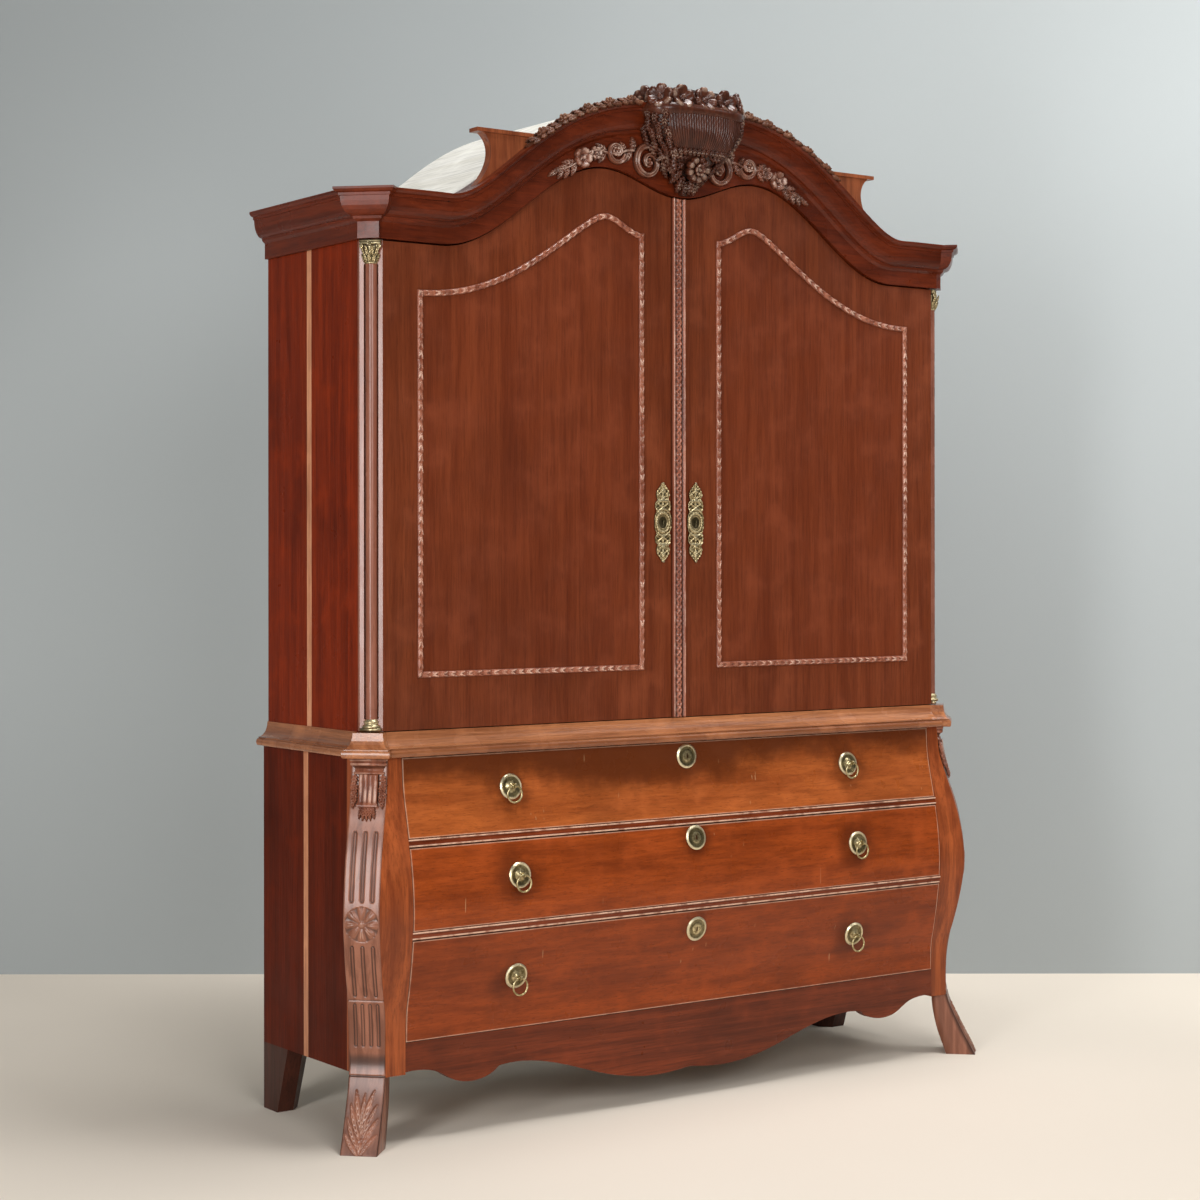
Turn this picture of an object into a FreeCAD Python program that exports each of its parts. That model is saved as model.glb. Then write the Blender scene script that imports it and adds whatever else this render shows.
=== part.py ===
import FreeCAD, Part
import Sketcher
import math
import os

# Dutch kas cupboard: a bombe chest of three drawers carrying a two-door case with an arched cornice.
# Frame: millimetres, +Z up, +Y towards the back, origin on the floor in the middle of the plan.
# Every size below the table is read from the spreadsheet or bound to it with an expression.
# A position is written as a sum of size names, such as "case_depth - back_thick".

V = FreeCAD.Vector
DOC = FreeCAD.newDocument("kas_cupboard")
SHEET = DOC.addObject("Spreadsheet::Sheet", "Sizes")

SIZE_TABLE = [
    # the two cases in plan
    ("case_depth", 477.0, "door face to the back of both cases"),
    ("case_half_width", 882.0, "middle to the outside of an upper side"),
    ("chest_over", 12.5, "how far a chest side stands outside the upper side"),
    ("cant", 38.0, "leg of the 45 degree corner of the upper case"),
    ("crest_reach", 118.0, "door face to the foremost point of the crest"),
    ("side_thick", 24.0, "thickness of the side boards"),
    ("back_thick", 14.0, "thickness of the back boards"),
    ("back_board_width", 240.0, "width of one back board"),
    ("board_joint", 0.6, "open joint between two boards"),
    ("filler_width", 22.0, "width of the strip let into each side"),
    ("filler_place_case", 262.0, "door face to the strip in the upper side"),
    ("filler_place_chest", 256.0, "door face to the strip in the chest side"),
    # heights of the chest
    ("waist_bottom", 870.0, "floor to the underside of the waist moulding"),
    ("waist_height", 56.0, "height of the waist moulding"),
    ("side_foot", 158.0, "floor to the bottom edge of the chest sides"),
    ("apron_top", 229.0, "floor to the top of the apron"),
    ("rail_lower_place", 463.0, "floor to the underside of the lower rail"),
    ("rail_upper_place", 669.0, "floor to the underside of the upper rail"),
    ("rail_height", 18.0, "height of a rail between drawers"),
    ("rail_depth", 60.0, "door face to the back of a rail"),
    ("rail_bead", 2.4, "radius of the beads along a rail"),
    ("stile_reach", 86.5, "drawer opening to the outside of a chest side"),
    ("post_depth", 75.0, "door face to the back of a corner post"),
    ("chest_floor_thick", 18.0, "thickness of the chest floor"),
    ("chest_lid_thick", 20.0, "thickness of the board over the drawers"),
    ("apron_thick", 24.0, "thickness of the apron"),
    ("apron_middle", 68.0, "floor to the lowest point of the apron"),
    ("apron_cusp", 8.0, "rise of the cusp in the middle of the apron"),
    ("apron_brow", 150.0, "floor to the apron where its middle lobe ends"),
    ("apron_ear", 122.0, "floor to the lowest point of its outer lobe"),
    ("apron_end", 163.0, "floor to the apron at its ends"),
    # the bombe outline: how far the front stands beyond the cant, along the diagonal, at each height
    ("neck_reach", 14.0, "reach under the waist moulding"),
    ("collar_drop", 70.0, "waist moulding down to the collar"),
    ("collar_reach", 21.5, "reach at the collar"),
    ("shoulder_drop", 135.0, "waist moulding down to the shoulder"),
    ("shoulder_reach", 41.0, "reach at the shoulder"),
    ("flank_drop", 230.0, "waist moulding down to the flank"),
    ("flank_reach", 70.0, "reach at the flank"),
    ("belly_height", 520.0, "height of the belly"),
    ("belly_reach", 86.5, "reach at the belly"),
    ("hip_height", 420.0, "height of the hip"),
    ("hip_reach", 74.0, "reach at the hip"),
    ("thigh_height", 330.0, "height of the thigh"),
    ("thigh_reach", 50.5, "reach at the thigh"),
    ("knee_height", 240.0, "height of the knee"),
    ("knee_reach", 38.0, "reach at the knee"),
    ("ankle_height", 158.0, "height of the ankle"),
    ("ankle_reach", 41.0, "reach at the ankle"),
    ("instep_height", 90.0, "height of the instep"),
    ("instep_reach", 68.0, "reach at the instep"),
    ("toe_reach", 115.0, "reach at the floor"),
    ("heel_reach", 38.5, "reach of the inside of the foot at the floor"),
    ("pilaster_half", 42.0, "half the width of a corner pilaster"),
    ("abacus_height", 25.0, "height of the block at the top of a pilaster"),
    ("abacus_reach", 37.0, "reach of that block"),
    ("triglyph_half", 24.0, "half the width of the grooved block"),
    ("triglyph_height", 96.0, "height of the grooved block and its moulding"),
    ("triglyph_proud", 12.0, "how far it stands off the pilaster"),
    ("tassel_half", 20.0, "half the width of the tassel below it"),
    ("tassel_height", 36.0, "height of the tassel"),
    ("back_foot_wide", 84.0, "width of a back foot at the top"),
    ("back_foot_deep", 120.0, "depth of a back foot at the top"),
    ("back_foot_taper", 52.0, "how much its front edge runs back at the floor"),
    # waist moulding
    ("waist_reach", 42.0, "door face to the bead of the front waist moulding"),
    ("waist_side_reach", 33.0, "upper side to the bead of a side waist moulding"),
    ("waist_inside", 60.0, "door face to the back of the front waist moulding"),
    ("waist_bead", 17.0, "height of the bead along the waist"),
    ("waist_groove", 3.0, "height and depth of the groove over the bead"),
    ("waist_block_half", 33.0, "half the width of a waist corner block at its top"),
    ("waist_block_reach", 30.0, "reach of a waist corner block at its top"),
    ("waist_block_flare", 23.0, "how much a corner block grows down to its bead"),
    # drawers
    ("drawer_gap_side", 2.0, "gap at each end of a drawer front"),
    ("drawer_gap", 1.5, "gap over a rail under a drawer front"),
    ("drawer_gap_top", 3.0, "gap over a drawer front"),
    ("drawer_front_thick", 26.0, "thickness of a drawer front, front to back"),
    ("drawer_side_thick", 12.0, "thickness of drawer sides and backs"),
    ("drawer_back_gap", 23.0, "back of a drawer to the back boards"),
    ("drawer_side_drop", 12.0, "how far the drawer sides stay below the front"),
    ("drawer_bottom_place", 9.0, "drawer side edge to the drawer bottom"),
    ("drawer_bottom_thick", 8.0, "thickness of a drawer bottom"),
    ("runner_gap", 0.5, "running gap between a drawer side and its runner"),
    ("runner_height", 20.0, "height of a runner"),
    ("runner_width", 32.0, "how far a runner reaches under its drawer"),
    ("guide_gap", 1.0, "gap between a drawer side and the guide beside it"),
    # drawer brasses
    ("pull_place", 520.0, "middle to a drawer pull"),
    ("pull_radius", 30.0, "radius of a pull plate"),
    ("pull_rim", 5.5, "height of the rim of a pull plate"),
    ("pull_neck", 3.5, "radius of the neck that carries the eye"),
    ("eye_standoff", 19.0, "back of the plate to the axis of the ring"),
    ("eye_radius", 6.0, "outer radius of the eye"),
    ("eye_width", 5.0, "width of the eye"),
    ("eye_bore", 3.0, "radius of the hole in the eye"),
    ("ring_radius", 19.5, "mean radius of a ring"),
    ("ring_wire", 2.25, "radius of the ring's wire"),
    ("brass_gap", 0.3, "clearance between a plate and the curved front"),
    ("lock_plate_radius", 30.0, "radius of a drawer lock plate"),
    ("lock_plate_thick", 4.0, "thickness of a drawer lock plate"),
    ("keyhole_radius", 2.6, "radius of the round end of a keyhole"),
    ("keyhole_length", 11.0, "length of a keyhole's slot"),
    ("pull_drop_1", 82.0, "waist moulding down to the pulls of the top drawer"),
    ("pull_drop_2", 82.0, "upper rail down to the pulls of the middle drawer"),
    ("pull_drop_3", 110.0, "lower rail down to the pulls of the bottom drawer"),
    ("lock_drop_1", 37.0, "waist moulding down to the lock plate of the top drawer"),
    ("lock_drop_2", 32.0, "upper rail down to the lock plate of the middle drawer"),
    ("lock_drop_3", 48.0, "lower rail down to the lock plate of the bottom drawer"),
    # doors
    ("frieze_end", 2036.0, "floor to the lower edge of the frieze at its ends"),
    ("cusp_rise", 166.0, "rise of that edge in the middle"),
    ("lobe_rise", 220.0, "rise of that edge over the middle of each door"),
    ("lobe_place", 230.0, "middle to the top of each lobe"),
    ("lobe_margin", 192.0, "upper side to where each lobe runs out"),
    ("door_thick", 28.0, "thickness of a door"),
    ("door_gap", 2.0, "gap under the doors and between them"),
    ("door_gap_top", 3.5, "gap over the doors"),
    ("meeting_place", 26.5, "middle to the meeting edge, to the left"),
    ("astragal_width", 37.0, "width of the strip over the meeting edge"),
    ("astragal_thick", 12.0, "how far that strip stands off the door"),
    ("corner_return", 8.0, "flat of the corner stile along the side"),
    ("hinge_gap", 2.5, "gap between the corner stile and the side"),
    ("pin_inset", 5.0, "hinge axis to the side and back of the corner stile"),
    ("pin_radius", 3.0, "radius of a hinge pin"),
    ("pin_length", 18.0, "length of a hinge pin in its socket"),
    ("pin_play", 0.08, "running clearance round a hinge pin"),
    ("hinge_plate_thick", 1.6, "thickness of a hinge plate"),
    ("panel_inner", 112.0, "middle to the inner edge of a door's moulding"),
    ("panel_margin", 90.0, "cant to the outer edge of a door's moulding"),
    ("panel_foot_margin", 119.0, "waist to the bottom of a door's moulding"),
    ("panel_top_margin", 107.0, "frieze to the top of a door's moulding"),
    ("panel_corner_drop", 42.0, "lobe to the inner top corner of a door's moulding"),
    ("panel_mould_width", 15.0, "width of a door's moulding"),
    ("panel_mould_proud", 7.0, "how far it stands off the door"),
    ("panel_thick", 16.0, "thickness of a door panel"),
    ("panel_gap", 0.4, "gap round a door panel"),
    ("column_radius", 13.5, "radius of a corner column"),
    ("column_sink", 4.0, "column axis behind the cant's face"),
    ("column_recess", 9.0, "depth of the recess behind a column"),
    ("column_recess_half", 17.0, "half the width of that recess"),
    ("capital_height", 54.0, "height of a brass capital"),
    ("base_height", 27.0, "height of a brass base"),
    ("mount_half", 25.0, "half the width of a capital or base"),
    ("mount_proud", 12.0, "how far a capital or base stands off the cant"),
    ("door_plate_height", 197.0, "height of a door's lock plate"),
    ("door_plate_half", 25.0, "half the width of a door's lock plate"),
    ("door_plate_thick", 3.0, "thickness of a door's lock plate"),
    ("door_plate_level", 1405.0, "floor to the middle of a door's lock plate"),
    ("left_plate_place", 55.0, "middle to the left door's lock plate"),
    ("right_plate_place", 46.0, "middle to the right door's lock plate"),
    ("lock_width", 120.0, "width of the rim lock inside the right door"),
    ("lock_height", 84.0, "height of the rim lock"),
    ("lock_thick", 20.0, "thickness of the rim lock"),
    # inside of the upper case
    ("case_floor_thick", 20.0, "thickness of the case floor"),
    ("shelf_thick", 18.0, "thickness of a shelf"),
    ("shelf_low", 1290.0, "floor to the lower shelf"),
    ("shelf_high", 1660.0, "floor to the upper shelf"),
    ("shelf_front", 62.0, "door face to the front of the shelves"),
    ("cleat_size", 20.0, "height and width of a shelf cleat"),
    # cornice
    ("arch_rise", 272.0, "rise of the cornice in the middle"),
    ("arch_margin", 194.0, "upper side to where the arch runs out"),
    ("frieze_height", 37.0, "height of the frieze at its ends"),
    ("frieze_reach", 9.0, "door face to the front of the frieze"),
    ("frieze_back", 28.0, "door face to the back of frieze and cornice"),
    ("cornice_height", 73.0, "height of the cornice moulding"),
    ("cornice_reach", 54.0, "door face to the front of the cornice"),
    ("cornice_side_reach", 50.0, "upper side to the edge of a side cornice"),
    ("cornice_block_half", 16.0, "half the width of a block's core"),
    ("cornice_block_reach", 16.0, "reach of a block's core beyond the cant"),
    ("roof_thick", 12.0, "thickness of the barrel roof"),
    ("roof_gap", 1.2, "clearance between the roof boards and the walls under them"),
    ("seat_gap", 0.3, "clearance between carved pieces and what they sit on"),
    ("stand_thick", 25.0, "thickness of a vase stand"),
    ("stand_setback", 27.0, "how far a vase stand is in front of the door face"),
    ("stand_height", 163.0, "top of a vase stand over the ends of the cornice"),
    ("stand_cap", 9.0, "thickness of a vase stand's cap"),
    ("stand_cap_over", 5.0, "overhang of that cap at front and back"),
    ("stand_margin", 271.0, "upper side to the tip of a stand's cap"),
    ("stand_hollow", 41.0, "tip of the cap to the hollow of the stand's side"),
    ("crest_half", 150.0, "half the width of the crest"),
    ("crest_over", 44.0, "top of the crest over the arch"),
    ("crest_band_over", 6.0, "the crest's smooth band over the arch"),
    ("crest_field_drop", 33.0, "top of the crest's field under the arch's top"),
    ("crest_waist_drop", 110.0, "bottom of the crest's field under the arch's top"),
    ("pendant_gap", 2.0, "tip of the pendant over the frieze's edge"),
    ("garland_radius", 13.0, "radius of a garland on the cornice"),
    ("garland_inner", 140.0, "middle to the inner end of a garland"),
    ("garland_margin", 173.0, "tip of a stand's cap to the outer end of a garland"),
    ("tendril_proud", 12.0, "how far the tendrils stand off the frieze"),
    ("tendril_inner", 52.0, "middle to the inner end of a tendril"),
    ("tendril_outer", 405.0, "middle to the outer end of a tendril"),
    ("tendril_half", 27.0, "half the width of a tendril at its root"),
]

# Places that follow from the sizes above.
DERIVED = {
    "chest_half_width": "case_half_width + chest_over",
    "front_half_width": "chest_half_width - stile_reach",
    "runner_inside": "front_half_width - runner_width",
    "drawer_length": "case_depth - back_thick - drawer_back_gap",
    "collar_height": "waist_bottom - collar_drop",
    "shoulder_height": "waist_bottom - shoulder_drop",
    "flank_height": "waist_bottom - flank_drop",
    "waist_top": "waist_bottom + waist_height",
    "pull_height_1": "waist_bottom - pull_drop_1",
    "pull_height_2": "rail_upper_place - pull_drop_2",
    "pull_height_3": "rail_lower_place - pull_drop_3",
    "lock_height_1": "waist_bottom - lock_drop_1",
    "lock_height_2": "rail_upper_place - lock_drop_2",
    "lock_height_3": "rail_lower_place - lock_drop_3",
    "panel_outer": "case_half_width - cant - panel_margin",
    "panel_shoulder": "frieze_end - panel_top_margin",
    "panel_bottom": "waist_top + panel_foot_margin",
    "arch_half_span": "case_half_width - arch_margin",
    "lobe_foot": "case_half_width - lobe_margin",
    "cornice_end": "frieze_end + frieze_height + cornice_height",
    "crest_top": "cornice_end + arch_rise + crest_over",
    "crest_band": "cornice_end + arch_rise + crest_band_over",
    "crest_field": "cornice_end + arch_rise - crest_field_drop",
    "crest_waist": "cornice_end + arch_rise - crest_waist_drop",
    "stand_top": "cornice_end + stand_height",
    "stand_outer": "case_half_width - stand_margin",
    "stand_waist": "stand_outer - stand_hollow",
    "garland_outer": "stand_outer - garland_margin",
    "side_front": "cant + corner_return + hinge_gap",
    "side_top": "cornice_end - roof_thick - roof_gap",
}

for row, (alias, value, meaning) in enumerate(SIZE_TABLE, start=1):
    SHEET.set("A%d" % row, meaning)
    SHEET.set("B%d" % row, str(value))
    SHEET.setAlias("B%d" % row, alias)
DOC.recompute()

FACE = "0.5*crest_reach - 0.5*case_depth"  # the door face, when the plan is centred on the origin
ROOT_HALF = math.sqrt(0.5)
FAR = 4000.0  # longer than any piece: for cutting tools only
nodes = []


def terms(text, scale=1.0):
    """A sum of names and numbers as (factor, size name) pairs; a term may be written number*name."""
    found, sign = [], 1.0
    for word in text.split():
        if word in ("+", "-"):
            sign = 1.0 if word == "+" else -1.0
            continue
        factor, name = scale * sign, None
        for piece in word.split("*"):
            if piece[0].isalpha():
                name = piece
            else:
                factor *= float(piece)
        found += terms(DERIVED[name], factor) if name in DERIVED else [(factor, name)]
        sign = 1.0
    return found


def total(text):
    """Value of a sum of names."""
    return sum(factor * (float(SHEET.get(name)) if name else 1.0) for factor, name in terms(text))


def size(name):
    return total(name)


def bind(thing, prop, text):
    """Tie a property to the sheet, as the sum that total() reads."""
    words = ["%.9g * Sizes.%s" % pair if pair[1] else "%.9g" % pair[0] for pair in terms(text)]
    thing.setExpression(prop, " + ".join(words))


def node(thing):
    nodes.append(thing)
    return thing


def minus(text):
    """The mirrored position of a text: every sign turned round."""
    swapped = " ".join({"+": "-", "-": "+"}.get(word, word) for word in text.split())
    return swapped[2:] if swapped.startswith("+ ") else ("" if swapped.startswith("- ") else "- ") + swapped


def mirrored(low, high, side):
    return (low, high) if side > 0 else (minus(high), minus(low))


def board(label, x, y, z):
    """A plain board; each argument is its low and high position, y counted from the door face."""
    box = DOC.addObject("Part::Box", label)
    box.Label = label
    for prop, span in (("Length", x), ("Width", y), ("Height", z)):
        bind(box, prop, "%s %s" % (span[1], join_minus(span[0])))
    bind(box, "Placement.Base.x", x[0])
    bind(box, "Placement.Base.y", "%s + %s" % (y[0], FACE))
    bind(box, "Placement.Base.z", z[0])
    return box


def join_minus(text):
    turned = minus(text)
    return turned if turned.startswith("- ") else "+ " + turned


def group(label, members):
    """Separate solids that share one node."""
    compound = DOC.addObject("Part::Compound", label)
    compound.Label = label
    compound.Links = members
    return compound


def shaped(label, shape):
    """A piece with a shape of its own, made with y counted from the door face."""
    piece = DOC.addObject("Part::Feature", label)
    piece.Label = label
    piece.Shape = shape
    piece.Placement = FreeCAD.Placement(V(0, total(FACE), 0), FreeCAD.Rotation()).multiply(shape.Placement)
    return piece


def block(x, y, z):
    """A loose box from numbers, for cutting."""
    return Part.makeBox(x[1] - x[0], y[1] - y[0], z[1] - z[0], V(x[0], y[0], z[0]))


def largest(shape):
    return max(shape.Solids, key=lambda solid: solid.Volume)


def both(shape):
    """A shape and its mirror image across the middle plane, as separate solids."""
    return Part.makeCompound(shape.Solids + shape.mirror(V(0, 0, 0), V(1, 0, 0)).Solids)


def one(shape, side):
    return shape if side > 0 else shape.mirror(V(0, 0, 0), V(1, 0, 0))


def spline(points, start=None, end=None):
    curve = Part.BSplineCurve()
    if start is None:
        curve.interpolate(points)
    else:
        curve.interpolate(Points=points, InitialTangent=start, FinalTangent=end)
    return curve.toShape()


def solid_of(faces):
    shell = Part.makeShell(faces)
    shell.sewShape()
    solid = Part.makeSolid(Part.Shell(shell.Faces))
    return solid if solid.Volume > 0 else solid.reversed()


def closed(edges):
    return Part.Face(Part.Wire(Part.__sortEdges__(edges)))


def polygon(points):
    return Part.Face(Part.makePolygon(points + [points[0]]))


# ---------------------------------------------------------------- the diagonal corner
# At each front corner, q counts outwards along the diagonal from the middle of the cant's face,
# and u counts along that face, away from the middle of the cupboard.

def corner(q, u, z):
    middle = total("case_half_width - 0.5*cant")
    return V(middle + (q + u) * ROOT_HALF, total("0.5*cant") + (u - q) * ROOT_HALF, z)


def corner_slab(q, u, z):
    """A box that stands square to the diagonal."""
    outline = [corner(q[0], u[0], z[0]), corner(q[1], u[0], z[0])]
    outline += [corner(q[1], u[1], z[0]), corner(q[0], u[1], z[0])]
    return polygon(outline).extrude(V(0, 0, z[1] - z[0]))


def along_corner(face_at, half):
    """Extrude a face that lies in the q-z plane at u = -half over the full width."""
    return face_at.extrude(corner(0, half, 0) - corner(0, -half, 0))


# ---------------------------------------------------------------- the bombe front
BODY_STATIONS = [
    ("waist_bottom", "neck_reach"), ("collar_height", "collar_reach"), ("shoulder_height", "shoulder_reach"),
    ("flank_height", "flank_reach"), ("belly_height", "belly_reach"), ("hip_height", "hip_reach"),
    ("thigh_height", "thigh_reach"), ("knee_height", "knee_reach"),
]
LEG_STATIONS = [
    ("knee_height", "knee_reach"), ("ankle_height", "ankle_reach"), ("instep_height", "instep_reach"),
    ("0", "toe_reach"),
]


def front_reach(reach):
    """How far the flat front stands in front of the door face where the pilaster reaches so far."""
    return (reach + size("pilaster_half")) * ROOT_HALF - total("0.5*cant")


def body_curve(place):
    """The bombe outline from the waist to the knee; place turns reach and height into a point."""
    points = [place(size(reach), size(height)) for height, reach in BODY_STATIONS]
    return spline(points, points[1] - points[0], V(0, 0, -1) * (points[0] - points[-1]).Length)


def front_mass(setback):
    """Everything behind the bombe front, as wide as the chest, its face set back by so much."""
    def place(reach, z):
        return V(-size("chest_half_width"), setback - front_reach(reach), z)
    back = size("case_depth")
    curve = body_curve(place)
    top, knee = place(size("neck_reach"), size("waist_bottom")), place(size("knee_reach"), size("knee_height"))
    low = V(knee.x, knee.y, 0)
    far_low, far_top = V(knee.x, back, 0), V(knee.x, back, size("waist_bottom"))
    edges = [curve, Part.makeLine(knee, low), Part.makeLine(low, far_low)]
    edges += [Part.makeLine(far_low, far_top), Part.makeLine(far_top, top)]
    return closed(edges).extrude(V(2 * size("chest_half_width"), 0, 0))


FRONT = front_mass(0.0)
FRONT_INSIDE = front_mass(size("drawer_front_thick"))
PILASTER_ZONE = corner_slab((0, FAR), (-size("pilaster_half"), FAR), (-FAR, FAR))


def surface_at(z):
    """Depth and slope of the bombe front at a height: y, and the outward normal in the y-z plane."""
    line = Part.makeLine(V(0, -FAR, z), V(0, 0, z))
    hits = [line.common(FRONT).BoundBox.YMin]
    step = 1.0
    for offset in (-step, step):
        probe = Part.makeLine(V(0, -FAR, z + offset), V(0, 0, z + offset))
        hits.append(probe.common(FRONT).BoundBox.YMin)
    slope = (hits[2] - hits[1]) / (2 * step)
    return hits[0], V(0, -1, slope).normalize()


# ---------------------------------------------------------------- chest: posts, pilasters and feet

def corner_post():
    """The post behind a pilaster, with the narrow stile beside the drawers."""
    span_x = (size("front_half_width"), size("chest_half_width"))
    span_z = (size("ankle_height"), size("waist_bottom"))
    return FRONT.common(block(span_x, (-FAR, size("post_depth")), span_z)).cut(PILASTER_ZONE)


def pilaster():
    """The fluted pilaster and its sabre foot, cut from one length of wood on the diagonal."""
    half = size("pilaster_half")

    def place(reach, z):
        return corner(reach, -half, z)
    body = body_curve(place)
    leg_points = [place(size(reach), total(height)) for height, reach in LEG_STATIONS]
    leg = spline(leg_points)
    top_front, toe = place(size("neck_reach"), size("waist_bottom")), leg_points[-1]
    heel, ankle = place(size("heel_reach"), 0), place(0, size("ankle_height"))
    hollow = place(0.3 * size("heel_reach"), 0.5 * size("ankle_height"))
    top_back = place(0, size("waist_bottom"))
    edges = [body, leg, Part.makeLine(toe, heel), spline([heel, hollow, ankle])]
    edges += [Part.makeLine(ankle, top_back), Part.makeLine(top_back, top_front)]
    return along_corner(closed(edges), half)


PILASTER = pilaster()


def pilaster_capital():
    """The block, grooved triglyph and tassel applied to the top of a pilaster."""
    top = size("waist_bottom")
    under = top - size("abacus_height")
    foot = under - size("triglyph_height")
    tip = foot - size("tassel_height")
    reach = size("abacus_reach")
    proud = size("triglyph_proud")

    def face_q(z):
        probe = Part.makeLine(corner(-1, 0, z), corner(FAR, 0, z)).common(PILASTER)
        return (probe.Vertexes[-1].Point - corner(0, 0, z)).Length

    def applied(half, stations):
        points = [corner(0, -half, stations[0][1]), corner(0, -half, stations[-1][1])]
        outline = [corner(q, -half, z) for q, z in stations]
        return along_corner(polygon([points[0]] + outline + [points[1]]), half)
    step = top - 0.5 * size("abacus_height")
    abacus = applied(size("pilaster_half"), [(reach, top), (reach, step), (reach - 4, step), (reach - 4, under)])
    triglyph = applied(size("triglyph_half"), [(face_q(under) + proud, under), (face_q(foot) + proud, foot)])
    tassel = applied(size("tassel_half"), [(face_q(foot) + proud - 3, foot), (face_q(tip) + 4, tip)])
    return abacus.fuse([triglyph, tassel]).cut(PILASTER).removeSplitter()


def back_foot():
    """A tapered bracket foot under a back corner."""
    outer, back, top = size("chest_half_width"), size("case_depth"), size("side_foot")
    wide, deep, taper = size("back_foot_wide"), size("back_foot_deep"), size("back_foot_taper")

    def outline(z, pull):
        front = back - deep + pull
        inner = outer - wide + 0.3 * pull
        points = [V(outer, back, z), V(outer, front, z), V(outer - 0.5 * wide, front, z)]
        points += [V(inner, front + 0.4 * (back - front), z), V(inner, back, z)]
        return Part.makePolygon(points + [points[0]])
    return Part.makeLoft([outline(0, taper), outline(top, 0)], True, True)


def chest_frame():
    for side, word in ((-1, "left"), (1, "right")):
        node(shaped("chest_corner_post_" + word, one(corner_post(), side)))
        node(shaped("pilaster_" + word, one(PILASTER, side)))
    node(shaped("pilaster_capitals", both(pilaster_capital())))
    node(shaped("back_feet", both(back_foot())))


# ---------------------------------------------------------------- chest: sides, floor, back, rails, apron

def side_pair(label, outer, front, back, filler, z):
    """Both boards of each side wall, in one node for each side."""
    for side, word in ((-1, "left"), (1, "right")):
        x = mirrored("%s - side_thick" % outer, outer, side)
        front_board = board(label + "_front_board_" + word, x, (front, filler), z)
        rear_board = board(label + "_rear_board_" + word, x, ("%s + filler_width" % filler, back), z)
        node(group(label + "_side_" + word, [front_board, rear_board]))


def filler_strips():
    """The four lighter strips let into the shrinkage cracks of the side walls."""
    strips = []
    for side, word in ((-1, "left"), (1, "right")):
        for name, outer, place, z in (
            ("case", "case_half_width", "filler_place_case",
             ("waist_top", "side_top")),
            ("chest", "chest_half_width", "filler_place_chest", ("side_foot", "waist_bottom")),
        ):
            x = mirrored("%s - side_thick" % outer, outer, side)
            strips.append(board("%s_filler_%s" % (name, word), x, (place, place + " + filler_width"), z))
    node(group("filler_strips", strips))


def rail(place):
    """A rail between two drawers: its face follows the front and has a bead along each edge."""
    low, high = size(place), size(place) + size("rail_height")
    half, bead = size("front_half_width"), size("rail_bead")
    body = FRONT.common(block((-half, half), (-FAR, size("rail_depth")), (low, high)))
    for z in (low + bead, high - bead):
        depth, _ = surface_at(z)
        body = body.fuse(Part.makeCylinder(bead, 2 * half, V(-half, depth, z), V(1, 0, 0)))
    return body.common(block((-half, half), (-FAR, FAR), (low, high)))


def apron():
    """The scalloped board under the drawers: a cusp and wide lobe in the middle, a small lobe at each end."""
    half = size("front_half_width")
    low, brow, ear, end = size("apron_middle"), size("apron_brow"), size("apron_ear"), size("apron_end")
    right = [
        (0.0, low + size("apron_cusp")), (0.07, low + 2), (0.12, low), (0.2, low + 4), (0.31, low + 21),
        (0.43, low + 51), (0.53, low + 73), (0.61, brow), (0.66, brow), (0.69, brow - 3),
    ]
    curl = [(0.69, brow - 3), (0.715, brow - 17), (0.75, ear + 2), (0.795, ear), (0.845, ear + 10),
            (0.89, 0.5 * (ear + end) + 10), (0.94, end), (1.0, end)]
    bottom = [V(half * share, 0, z) for share, z in right]
    outer = [V(half * share, 0, z) for share, z in curl]
    edges = [spline(bottom), spline(outer)]
    edges += [edge.mirror(V(0, 0, 0), V(1, 0, 0)) for edge in edges]
    top_left, top_right = V(-half, 0, size("apron_top")), V(half, 0, size("apron_top"))
    edges += [Part.makeLine(V(-half, 0, end), top_left), Part.makeLine(top_left, top_right)]
    edges += [Part.makeLine(top_right, V(half, 0, end))]
    outline = closed(edges)
    outline.translate(V(0, -FAR / 2, 0))
    depth = size("apron_thick") - front_reach(size("knee_reach"))
    room = block((-half, half), (-FAR, depth), (0, size("apron_top")))
    return node(shaped("apron", outline.extrude(V(0, FAR, 0)).common(FRONT).common(room)))


def back_boards(label, half, z_low, z_high, cover):
    """Upright back boards with open joints, cut to the outline of cover."""
    width, joint = size("back_board_width"), size("board_joint")
    count = max(2, round(2 * half / width))
    pitch = 2 * half / count
    boards = []
    for index in range(count):
        left = -half + index * pitch
        span = (left + (joint if index else 0), left + pitch)
        raw = block(span, (total("case_depth - back_thick"), size("case_depth")), (z_low, z_high))
        boards += raw.common(cover).Solids if cover else [raw]
    return node(shaped(label, Part.makeCompound(boards)))


def runner(side, top, front):
    """An L-shaped runner and guide beside a drawer, from the post to the back boards."""
    inner, wall = size("runner_inside"), total("chest_half_width - side_thick")
    guide = total("front_half_width - drawer_gap_side + guide_gap")
    height = size("runner_height")
    points = [V(inner, front, top - height), V(wall, front, top - height), V(wall, front, top + height),
              V(guide, front, top + height), V(guide, front, top), V(inner, front, top)]
    length = total("case_depth - back_thick") - front
    return one(polygon(points).extrude(V(0, length, 0)), side)


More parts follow.
